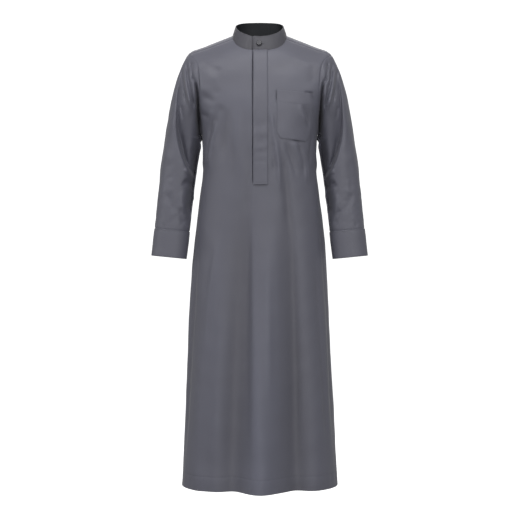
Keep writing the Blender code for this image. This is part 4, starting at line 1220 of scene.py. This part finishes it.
# collar
collar = {
    "overEnd": -0.0203,
    "underEnd": 0.018,
    "overlap": 0.0015,
    "endTurn": 0.115,
    "half": 0.0012,
    "stitchIn": 0.0034,
    "stitchWidth": 0.0011,
    "stitchDip": 0.00035,
    "belly": 0.0010,
    # the under end: how far round it starts to sink, over what angle, and the gap
    "underFrom": 0.26,
    "underOver": 0.2,
    "underGap": 0.0008,
    # depth or rise, place and width in radians
    "overGroove": (0.0018, 0.004, 0.030),
    "liningRidge": (0.0016, 2.72, 0.030),
    # the rounded corner: run from the end, where it starts, its drop
    "corner": (0.006, 0.86, 0.0032),
    "levels": (0, 0.012, 0.03, 0.06, 0.09, 0.16, 0.28, 0.40, 0.52, 0.64, 0.76, 0.86, 0.92, 0.955, 0.98, 0.992, 1),
    # degrees from the front, from centre, forward, height
    "rim": (
        (0.0, 0.0000, -0.0675, -0.0149), (25.0, 0.0300, -0.0620, -0.0105), (45.0, 0.0512, -0.0510, -0.0017),
        (63.0, 0.0645, -0.0370, 0.0090), (80.0, 0.0710, -0.0190, 0.0195), (95.0, 0.0724, -0.0020, 0.0290),
        (118.0, 0.0640, 0.0330, 0.0425), (140.0, 0.0467, 0.0500, 0.0490), (160.0, 0.0250, 0.0580, 0.0518),
        (180.0, 0.0000, 0.0600, 0.0527),
    ),
}


def rimPoints(angles):
    turned = (angles + math.pi) % (2 * math.pi) - math.pi
    degrees = np.degrees(np.abs(turned))
    x, y, z = (column(collar["rim"], 0, degrees, k) for k in (1, 2, 3))
    return np.stack([np.copysign(x, turned), y, z], axis=1)


def neckEdge():
    cells = len(columnShares) - 1
    seam = cells - neckCells
    row = len(skirtRows) + len(backRows) - 1
    strip = len(stripShares) - 1
    far = back.shape[1] - 1 - seam
    rightStart = cells + slotCells
    points = [front[-1, c] for c in range(rightStart, rightStart + neckCells + 1)]
    points += [back[r, far] for r in range(row + strip - 1, row, -1)]
    points += [back[row, c] for c in range(far, seam - 1, -1)]
    points += [back[r, seam] for r in range(row + 1, row + strip)]
    points += [front[-1, c] for c in range(seam, cells + 1)]
    middle = len(points) // 2
    angles = []
    for k, point in enumerate(points):
        ahead = k <= neckCells + strip or k >= len(points) - 1 - neckCells - strip
        angle = neckAngle(point[0]) if ahead else math.pi - math.asin(min(1.0, abs(point[0]) / body["neckHalf"]))
        angles.append(angle if k <= middle else 2 * math.pi - angle)
    return np.maximum.accumulate(np.array(angles)), np.array(points)


at, neckPoints = neckEdge()
overEnd, underEnd = neckAngle(collar["overEnd"]), neckAngle(collar["underEnd"])
wholeTurn = 2 * math.pi
angles = np.concatenate(
    [
        np.array([0.0, 0.006, 0.016, 0.034, 0.055]) - overEnd,
        np.linspace(-overEnd + 0.085, wholeTurn - overEnd - 0.20, 176),
        np.linspace(wholeTurn - overEnd - 0.19, wholeTurn + underEnd - 0.03, 40),
        [wholeTurn + underEnd - 0.012, wholeTurn + underEnd],
    ]
)
centre = bodyPoint(np.zeros(1), -body["neckDrop"], -1)
closedAt = np.concatenate([at[-16:] - wholeTurn, [0.0], at, [wholeTurn], at[:16] + wholeTurn])
closed = np.concatenate([neckPoints[-16:], centre, neckPoints, centre, neckPoints[:16]])
foot = np.stack([np.interp(angles, closedAt, closed[:, k]) for k in range(3)], axis=1)
rim = rimPoints(angles - collar["endTurn"] * np.exp(-(angles + overEnd) / 0.35))
upward = unit(rim - foot)
foot = foot - upward * collar["overlap"]
levels = np.array(collar["levels"], float)
collarGrid = foot[None] + (rim - foot)[None] * levels[:, None, None]
flatNormals = normalsOf(collarGrid, False, False)
swell = np.sin(math.pi * levels)[:, None]
belly = collar["belly"] * swell + uneven("collar", angles[None] * 0.07, collarGrid[..., 2]) * swell
overLine = wholeTurn - overEnd - collar["endTurn"] * levels[:, None]
# the under end runs on behind the over end, with a groove beside the free edge
under = easing((angles[None] - overLine + collar["underFrom"]) / collar["underOver"])
under = under * (2 * collar["half"] + collar["underGap"])
depth, place, wide = collar["overGroove"]
overGroove = depth * bell(angles[None] - overLine + place, wide)
rise, place, wide = collar["liningRidge"]
liningRidge = rise * bell(angles[None] - place, wide)
collarGrid = collarGrid + flatNormals * (belly - under - overGroove + liningRidge)[..., None]
# the over end's top corner is rounded off
endRun = fromEdge(collarGrid, "start")
wide, start, drop = collar["corner"]
corner = np.clip(1 - endRun / wide, 0, 1) ** 2 * np.clip((levels - start) / (1 - start), 0, 1)[:, None] ** 2
collarGrid = collarGrid - upward[None] * (drop * corner)[..., None]
collarNormals = normalsOf(collarGrid, False, False)
topRun, footRun, tailRun = (fromEdge(collarGrid, edge) for edge in ("head", "foot", "end"))
edgeRun = np.minimum(np.minimum(topRun, footRun), np.minimum(endRun, tailRun))
thick = rounded(edgeRun, collar["half"], 0.1)
sink = sum(bell(run - collar["stitchIn"], collar["stitchWidth"]) for run in (topRun, endRun)) * collar["stitchDip"]
# its inside faces are near-black: painted shade
collarBand = clothWall("collarBand", collarGrid, collarNormals, thick - sink, thick, paintedShadeInside=True)
finishPiece(collarBand, clothCollarPaintedShade, ["collar"], paintedShadeLining)
outer = collarGrid + collarNormals * (thick - sink + 2 * stitchRows["lift"])[..., None]
topLine, lowLine, endColumn = 13, 3, 3
lines = [outer[topLine, endColumn:-2], outer[lowLine, endColumn:-2], outer[lowLine:topLine + 1, endColumn]]
sewn("collarStitches", lines, 3, 0.0028, 0.0023)
print("collar:", collarGrid.shape)

# placket
placket = {
    "left": -0.0182,
    "right": 0.0249,
    "foot": -0.4642,
    "stitchLine": 0.0237,
    "stitchWidth": 0.0010,
    "stitchDip": 0.0004,
    "footStitch": 0.0030,
    "half": 0.0006,
    "boxLine": -0.4035,
    "least": 0.0010,
    "freeRise": 0.0022,
    "freeWidth": 0.007,
    # rise, place across, width of the soft crown
    "crown": (0.0010, 0.020, 0.013),
    "flushFrom": 0.0205,
    "flushOver": 0.0040,
    "flush": 0.00005,
    "buckleSlant": 0.12,
    "footDip": (0.0005, 0.0016),
    # the step below the box stitches
    "step": (0.0009, 0.0018),
    # where the strip grows thin at the seam, over what width
    "thinFrom": (0.0228, 0.0020),
    # height, rise, width: small buckles across it
    "buckles": metres((
        (-267.4, 1.3, 18), (-311.8, 2.3, 14.5), (-354.7, 1.8, 10.5), (-383, 1, 8.5), (-205, 0.6, 16), (-130, 0.5, 20),
    )),
    "pitch": 0.0029,
    "length": 0.0024,
    # left, right, foot, gap behind the front
    "stand": (-0.0185, 0.0165, -0.455, 0.0014),
}


def stripGrid(across, foot, rows, lower):
    grid = np.zeros((len(rows), len(across), 3))
    for c, x in enumerate(across):
        top = float(neckFront(neckAngle(x))[1]) - lower
        grid[:, c] = bodyPoint(np.full(len(rows), x), foot + (top - foot) * rows, -1, grooves=False)
    return grid, normalsOf(grid, False, False)


acrossShares = np.concatenate(
    [[0, 0.008, 0.02, 0.04, 0.065], np.linspace(0.10, 0.92, 18), [0.945, 0.958, 0.970, 0.982, 0.992, 1.0]]
)
rowShares = np.concatenate([[0, 0.0012, 0.003, 0.0055, 0.008], np.linspace(0.014, 0.985, 96), [0.993, 1.0]])
across = placket["left"] + (placket["right"] - placket["left"]) * acrossShares
grid, normals = stripGrid(across, placket["foot"], rowShares, 0.0006)
z = grid[..., 2]
free = across[None] - placket["left"]
tied = easing((z - placket["boxLine"]) / 0.03)
edgeRise = np.exp(-free / placket["freeWidth"]) * (0.80 + 0.20 * np.sin(z * 55 + 1)) * (0.35 + 0.65 * tied)
rise, place, wide = placket["crown"]
lift = placket["least"] + placket["freeRise"] * edgeRise + rise * bell(free - place, wide)
flush = easing((across[None] - placket["flushFrom"]) / placket["flushOver"])
lift = lift * (1 - flush) + placket["flush"] * flush
middle = (0.45 + 0.55 * np.sin(math.pi * np.clip(acrossShares, 0.05, 0.95)))[None]
for height, amount, wide in placket["buckles"]:
    lift = lift + amount * bell(z - height - placket["buckleSlant"] * (across[None] - 0.003), wide) * middle
depth, wide = placket["footDip"]
lift = lift - depth * bell(z - placket["foot"] - placket["footStitch"], wide)
rise, wide = placket["step"]
lift = lift + rise * easing((placket["boxLine"] - z) / wide)
lift = lift - placket["stitchDip"] * bell(across[None] - placket["stitchLine"], placket["stitchWidth"])
lift = lift * (0.35 + 0.65 * easing((1 - rowShares[:, None]) / 0.03)) + half + placket["half"]
points = grid + normals * lift[..., None]
normals = normalsOf(points, False, False)
edge = np.min([fromEdge(points, name) for name in ("foot", "start", "end")], axis=0)
start, wide = placket["thinFrom"]
thick = rounded(edge, placket["half"], 0.15) * (1 - 0.6 * easing((across[None] - start) / wide))
overStrip = clothWall("placketStrip", points, normals, thick, thick)
finishPiece(overStrip, clothPlacket, ["placket"])
surface = points + normals * (thick + stitchRows["lift"])[..., None]
stitchColumn = int(np.argmin(np.abs(across - placket["stitchLine"])))
low, high = (
    int(np.argmin(np.abs(grid[:, 0, 2] - level)))
    for level in (placket["foot"] + placket["footStitch"], placket["boxLine"])
)
lines = [surface[low:, stitchColumn], *(surface[k, 3:stitchColumn + 1] for k in (low, high)), surface[low:high + 1, 3]]
sewn("placketStitches", lines, 5, placket["pitch"], placket["length"])

left, right, foot, gap = placket["stand"]
grid, normals = stripGrid(np.linspace(left, right, 15), foot, np.linspace(0, 1, 70), 0.0024)
underStrip = clothWall("buttonStand", grid - normals * (half + gap), normals, placket["half"], placket["half"])
finishPiece(underStrip, clothPlacket, ["placket_under"])
print("placket done")

# pocket
pocket = {
    # across and height: the opening's inner corner, two corners each side of the foot, the opening's outer corner
    "outline": metres(((50.7, -185.6), (51.5, -310.4), (61.5, -327.2), (137, -334.1), (151.2, -308), (156, -193.9))),
    # where the foot's corners fall across it
    "marks": (0.0, 0.125, 0.875, 1.0),
    "band": 0.749,
    "half": 0.0005,
    "lift": 0.0009,
    "stitchIn": 0.0016,
    "gape": 0.0018,
    "cornerGape": 0.0028,
    "sag": 0.0012,
    "dip": 0.0003,
    "dipWidth": 0.0012,
    # in shares of the height
    "bandDipWidth": 0.006,
    "opensFrom": 0.55,
    # in shares of the width
    "cornerAt": (0.92, 0.05),
}
inner, *corners, outer = pocket["outline"]
edges = [0.0, 0.006, 0.013, 0.022, 0.034]
u = np.array(edges + list(np.linspace(0.05, 0.95, 34)) + [1 - e for e in reversed(edges)])
v = np.concatenate(
    [edges[:4], np.linspace(0.036, 0.738, 30), [0.744, 0.749, 0.754, 0.762], np.linspace(0.78, 0.96, 9)]
    + [[0.978, 0.99, 0.996, 1.0]]
)
px, pz = (
    np.interp(u, pocket["marks"], [corner[k] for corner in corners])[None] * (1 - v[:, None])
    + (inner[k] + (outer[k] - inner[k]) * u)[None] * v[:, None]
    for k in range(2)
)
grid = bodyPoint(px, pz, -1, grooves=False)
normals = normalsOf(grid, False, False)
opened = np.clip((v - pocket["opensFrom"]) / (1 - pocket["opensFrom"]), 0, 1)[:, None] ** 2
place, wide = pocket["cornerAt"]
gape = pocket["gape"] * opened * np.sin(math.pi * u) ** 0.7
gape = gape + pocket["cornerGape"] * opened ** 2 * bell(u - place, wide)
sag = pocket["sag"] * np.sin(math.pi * u)[None] ** 2 * np.sin(math.pi * v)[:, None]
seamAt = np.min([fromEdge(grid, name) for name in ("start", "end", "foot")], axis=0)
dent = bell(seamAt - pocket["stitchIn"], pocket["dipWidth"]) + bell(v[:, None] - pocket["band"], pocket["bandDipWidth"])
dent = pocket["dip"] * dent
points = grid + normals * (half + pocket["lift"] + gape + sag - dent)[..., None]
normals = normalsOf(points, False, False)
edge = np.minimum(seamAt, fromEdge(points, "head"))
thick = rounded(edge, pocket["half"], 0.15) * (1 + 0.2 * (v[:, None] > pocket["band"]))
patchPocket = clothWall("pocketPatch", points, normals, thick, np.minimum(thick, pocket["half"]))
finishPiece(patchPocket, clothPocket, ["pocket"])
surface = points + normals * (thick + stitchRows["lift"])[..., None]
left, right, low = 2, len(u) - 3, 2
band = int(np.argmin(np.abs(v - pocket["band"])))
seam = np.concatenate([surface[low:, left][::-1], surface[low, left + 1:right], surface[low:, right]])
sewn("pocketStitches", [seam, surface[band, left:right + 1]], 9, placket["pitch"], placket["length"])
print("pocket done")

# hem stitches
hemRows = [
    (points + normals * (half + stitchRows["lift"]))[hemRow]
    for points, normals in ((front, frontNormals), (back, backNormals))
]
sewn("hemStitches", hemRows, 13)

# button and buttonhole
button = {
    "radius": 0.0084,
    "thick": 0.0034,
    "at": (-0.0014, -0.0386),
    "above": 0.0011,
    "sides": 64,
    "holeSpread": 0.0016,
    "holeRadius": 0.00070,
    # faces beyond this share of the radius, and within the dish's range, turn near-black: painted shadow at the edge,
    # painted shade in the dish
    "paintedShadowEdge": 0.76,
    "paintedShadeDish": (0.40, 0.56),
    # share of the radius, share of the thickness, from the face round to the back
    "profile": (
        (0.0, 0.62), (0.20, 0.62), (0.36, 0.60), (0.42, 0.46), (0.46, 0.34), (0.52, 0.34), (0.56, 0.52), (0.60, 0.86),
        (0.67, 1.0), (0.76, 1.0), (0.84, 0.92), (0.92, 0.74), (0.97, 0.62), (1.0, 0.48), (0.98, 0.30), (0.90, 0.14),
        (0.78, 0.04), (0.60, 0.0), (0.0, 0.0),
    ),
}
ahead = collarGrid[:, :40] + collarNormals[:, :40] * collar["half"]
away = np.hypot(ahead[..., 0] - button["at"][0], ahead[..., 2] - button["at"][1])
near = np.unravel_index(np.argsort(away, axis=None)[:6], away.shape)
facing = unit(collarNormals[:, :40][near].mean(0))
middle = ahead[near].mean(0)
seat = np.array([button["at"][0], middle[1], button["at"][1]])
seat[1] -= ((seat - middle) @ facing) / facing[1]
toward = Vector(facing)
spin = toward.to_track_quat("Z", "Y").to_matrix().to_4x4()
spin.translation = Vector(seat) + toward * button["above"]


def buttonMesh():
    made = bmesh.new()
    sides = button["sides"]
    circle = [(math.cos(2 * math.pi * k / sides), math.sin(2 * math.pi * k / sides)) for k in range(sides)]
    rings = []
    for share, level in button["profile"]:
        r, h = share * button["radius"], level * button["thick"]
        rings.append([made.verts.new((r * x, r * y, h)) for x, y in (circle if share else circle[:1])])
    for a, b in zip(rings, rings[1:]):
        for k in range(sides):
            j = (k + 1) % sides
            corners = [a[k % len(a)], b[k % len(b)], b[j % len(b)], a[j % len(a)]]
            made.faces.new(list(dict.fromkeys(corners)))
    bmesh.ops.recalc_face_normals(made, faces=made.faces)
    mesh = bpy.data.meshes.new("collarButton")
    made.to_mesh(mesh)
    made.free()
    return mesh


disc = newObject("collarButton", buttonMesh())
quarters = [math.pi / 4 + k * math.pi / 2 for k in range(4)]
cutters = []
for turn in quarters:
    bpy.ops.mesh.primitive_cylinder_add(vertices=24, radius=button["holeRadius"], depth=0.02)
    cutter = bpy.context.object
    for vertex in cutter.data.vertices:
        vertex.co += Vector((button["holeSpread"] * math.cos(turn), button["holeSpread"] * math.sin(turn), 0))
    cut = disc.modifiers.new("hole", "BOOLEAN")
    cut.object = cutter
    cut.operation = "DIFFERENCE"
    cut.solver = "EXACT"
    cutters.append(cutter)
graph = bpy.context.evaluated_depsgraph_get()
solid = bpy.data.meshes.new_from_object(disc.evaluated_get(graph))
disc.modifiers.clear()
disc.data = solid
for cutter in cutters:
    bpy.data.objects.remove(cutter)
# painted shadow and shade: faces at the edge and in the dish take the near-black material
tones = np.zeros(len(solid.polygons), np.int32)
for k, face in enumerate(solid.polygons):
    share = math.hypot(face.center.x, face.center.y) / button["radius"]
    tones[k] = share > button["paintedShadowEdge"] or button["paintedShadeDish"][0] < share < button["paintedShadeDish"][1]
solid.transform(spin)
solid.shade_smooth()
solid.set_sharp_from_angle(angle=math.radians(50))
solid.materials.clear()
solid.materials.append(None)
solid.materials.append(None)
solid.polygons.foreach_set("material_index", tones)
finishPiece(disc, buttonShell, ["collar_button"], paintedShadeMaterial=buttonPaintedShade)

# thread through the four holes, as a cross
crossThread = {
    "offsets": (-0.00028, 0.0, 0.00028),
    "reach": 1.02,
    "level": 0.62,
    # the second pair of holes is sewn over the first
    "rises": (0.0004, 0.0007),
    "drop": 0.0009,
    "radius": 0.00022,
}
threadLines = []
t = np.linspace(-1, 1, 15)
reach = button["holeSpread"] * crossThread["reach"] * t
for turn, rise in zip(quarters, crossThread["rises"]):
    level = button["thick"] * crossThread["level"] + rise * (1 - t ** 2) - crossThread["drop"] * np.abs(t) ** 8
    for offset in crossThread["offsets"]:
        x = reach * math.cos(turn) - offset * math.sin(turn)
        y = reach * math.sin(turn) + offset * math.cos(turn)
        threadLines.append(np.array([list(spin @ Vector(p)) for p in zip(x, y, level)]))


def tubeMesh(name, lines, radius, sides=6):
    vertices, faces = [], []
    for line in lines:
        tangent = unit(np.gradient(line, axis=0))
        side = unit(np.cross(tangent, facing))
        up = np.cross(side, tangent)
        base = len(vertices)
        for p, s, w in zip(line, side, up):
            for k in range(sides):
                turn = 2 * math.pi * k / sides
                vertices.append(p + radius * (math.cos(turn) * s + math.sin(turn) * w))
        for n in range(len(line) - 1):
            a, b = base + n * sides, base + (n + 1) * sides
            faces += [(a + k, a + (k + 1) % sides, b + (k + 1) % sides, b + k) for k in range(sides)]
        faces.append(tuple(base + k for k in reversed(range(sides))))
        faces.append(tuple(base + (len(line) - 1) * sides + k for k in range(sides)))
    mesh = bpy.data.meshes.new(name)
    mesh.from_pydata([tuple(p) for p in vertices], [], faces)
    made = bmesh.new()
    made.from_mesh(mesh)
    bmesh.ops.recalc_face_normals(made, faces=made.faces)
    made.to_mesh(mesh)
    made.free()
    mesh.shade_smooth()
    return newObject(name, mesh)


finishPiece(tubeMesh("buttonThread", threadLines, crossThread["radius"]), sewingThread, [])


def onCollar(x, z, lift):
    # a point on the collar's outer face, straight ahead
    face = collarGrid[:, :60] + collarNormals[:, :60] * collar["half"]
    away = np.hypot(face[..., 0] - x, face[..., 2] - z)
    order = np.argsort(away, axis=None)[:4]
    rows, columns = np.unravel_index(order, away.shape)
    weight = 1 / (away[rows, columns] + 1e-5)
    y = (face[rows, columns, 1] * weight).sum() / weight.sum()
    return np.array([x, y, z]) + facing * lift


# the buttonhole: close stitches above and below its line
buttonhole = {
    "start": -0.0060,
    "run": 0.0185,
    "stitches": 46,
    "slope": 0.06,
    "bars": ((-0.0012, -0.0001), (0.0001, 0.0012)),
    "lifts": (0.00012, 0.00030, 0.00010),
    "radius": 0.00021,
    "sides": 5,
}
holeLines = []
for share in np.arange(buttonhole["stitches"]) / (buttonhole["stitches"] - 1):
    x = buttonhole["start"] + buttonhole["run"] * share
    z = button["at"][1] + buttonhole["slope"] * (x - button["at"][0])
    for low, high in buttonhole["bars"]:
        levels = (z + low, z + (low + high) / 2, z + high)
        holeLines.append(np.array([onCollar(x, level, lift) for level, lift in zip(levels, buttonhole["lifts"])]))
holePiece = tubeMesh("buttonhole", holeLines, buttonhole["radius"], buttonhole["sides"])
finishPiece(holePiece, sewingThread, [])
print("button done")

# stage, light and camera
studio = {
    "camera": (0.0012, -3.4, -0.6877),
    "lens": 76.7,
    "floor": -1.62,
    "floorRadius": 4.4,
    "curve": 1.6,
    "wallTop": 7.0,
    "sides": 64,
    "paper": 0.80,
    "glow": 0.80,
    "ambient": 0.33,
    # name, place, aimed at, width and height, power
    "lights": (
        ("keyLeft", (-3.0, -1.7, 1.0), (0, 0, -0.6), (1.3, 2.6), 27),
        ("topFront", (0.1, -1.7, 2.5), (0, 0, -0.4), (2.0, 1.2), 44),
        ("fillLeft", (-1.9, -4.0, 0.5), (0, 0, -0.6), (1.4, 1.4), 11),
        ("fillRight", (1.9, -4.0, 0.5), (0, 0, -0.6), (1.4, 1.4), 33),
        ("fillLow", (0.0, -4.8, -1.2), (0, 0, -0.8), (0.6, 1.8), 14),
        ("behind", (0.0, 2.3, 1.4), (0, 0, -0.6), (2.6, 1.6), 26),
    ),
}


def sweepMesh():
    # a round floor that curves up into a wall
    flatRadius, floor, curve, sides = (studio[key] for key in ("floorRadius", "floor", "curve", "sides"))
    profile = [(flatRadius, floor)]
    for turn in np.linspace(0, math.pi / 2, 13)[1:]:
        profile.append((flatRadius + curve * math.sin(turn), floor + curve * (1 - math.cos(turn))))
    profile.append((flatRadius + curve, studio["wallTop"]))
    turns = np.linspace(0, 2 * math.pi, sides + 1)[:-1]
    vertices = [(r * math.cos(a), r * math.sin(a), z) for r, z in profile for a in turns]
    faces = [tuple(range(sides))]
    for n in range(len(profile) - 1):
        a, b = n * sides, (n + 1) * sides
        faces += [(a + k, b + k, b + (k + 1) % sides, a + (k + 1) % sides) for k in range(sides)]
    mesh = bpy.data.meshes.new("sweep")
    mesh.from_pydata(vertices, [], faces)
    mesh.shade_smooth()
    return mesh


sweep = newObject("sweep", sweepMesh())
pale = Shader("palePaper")
pale.feed({
    "Base Color": (*(studio["paper"],) * 3, 1),
    "Roughness": 0.9,
    "Emission Color": (1.0, 1.0, 1.0, 1),
    "Emission Strength": studio["glow"],
})
sweep.data.materials.append(pale.material)
sweep.visible_diffuse = False
sweep.visible_glossy = False
sweep.visible_shadow = False

world = bpy.data.worlds.new("studio")
scene.world = world
world.use_nodes = True
world.node_tree.nodes["Background"].inputs[0].default_value = (1.0, 1.0, 1.0, 1)
world.node_tree.nodes["Background"].inputs[1].default_value = studio["ambient"]

for name, place, aim, (wide, high), power in studio["lights"]:
    light = bpy.data.lights.new(name, "AREA")
    light.shape = "RECTANGLE"
    light.size, light.size_y = wide, high
    light.energy = power
    lamp = newObject(name, light)
    lamp.visible_camera = False
    lamp.location = place
    lamp.rotation_euler = (Vector(aim) - Vector(place)).to_track_quat("-Z", "Y").to_euler()

camera = bpy.data.cameras.new("camera")
camera.lens = studio["lens"]
camera.sensor_width = 36.0
view = newObject("camera", camera)
view.location = studio["camera"]
view.rotation_euler = (math.pi / 2, 0, 0)
scene.camera = view
scene.view_settings.view_transform = "Standard"
print("studio done:", len(studio["lights"]), "lights")
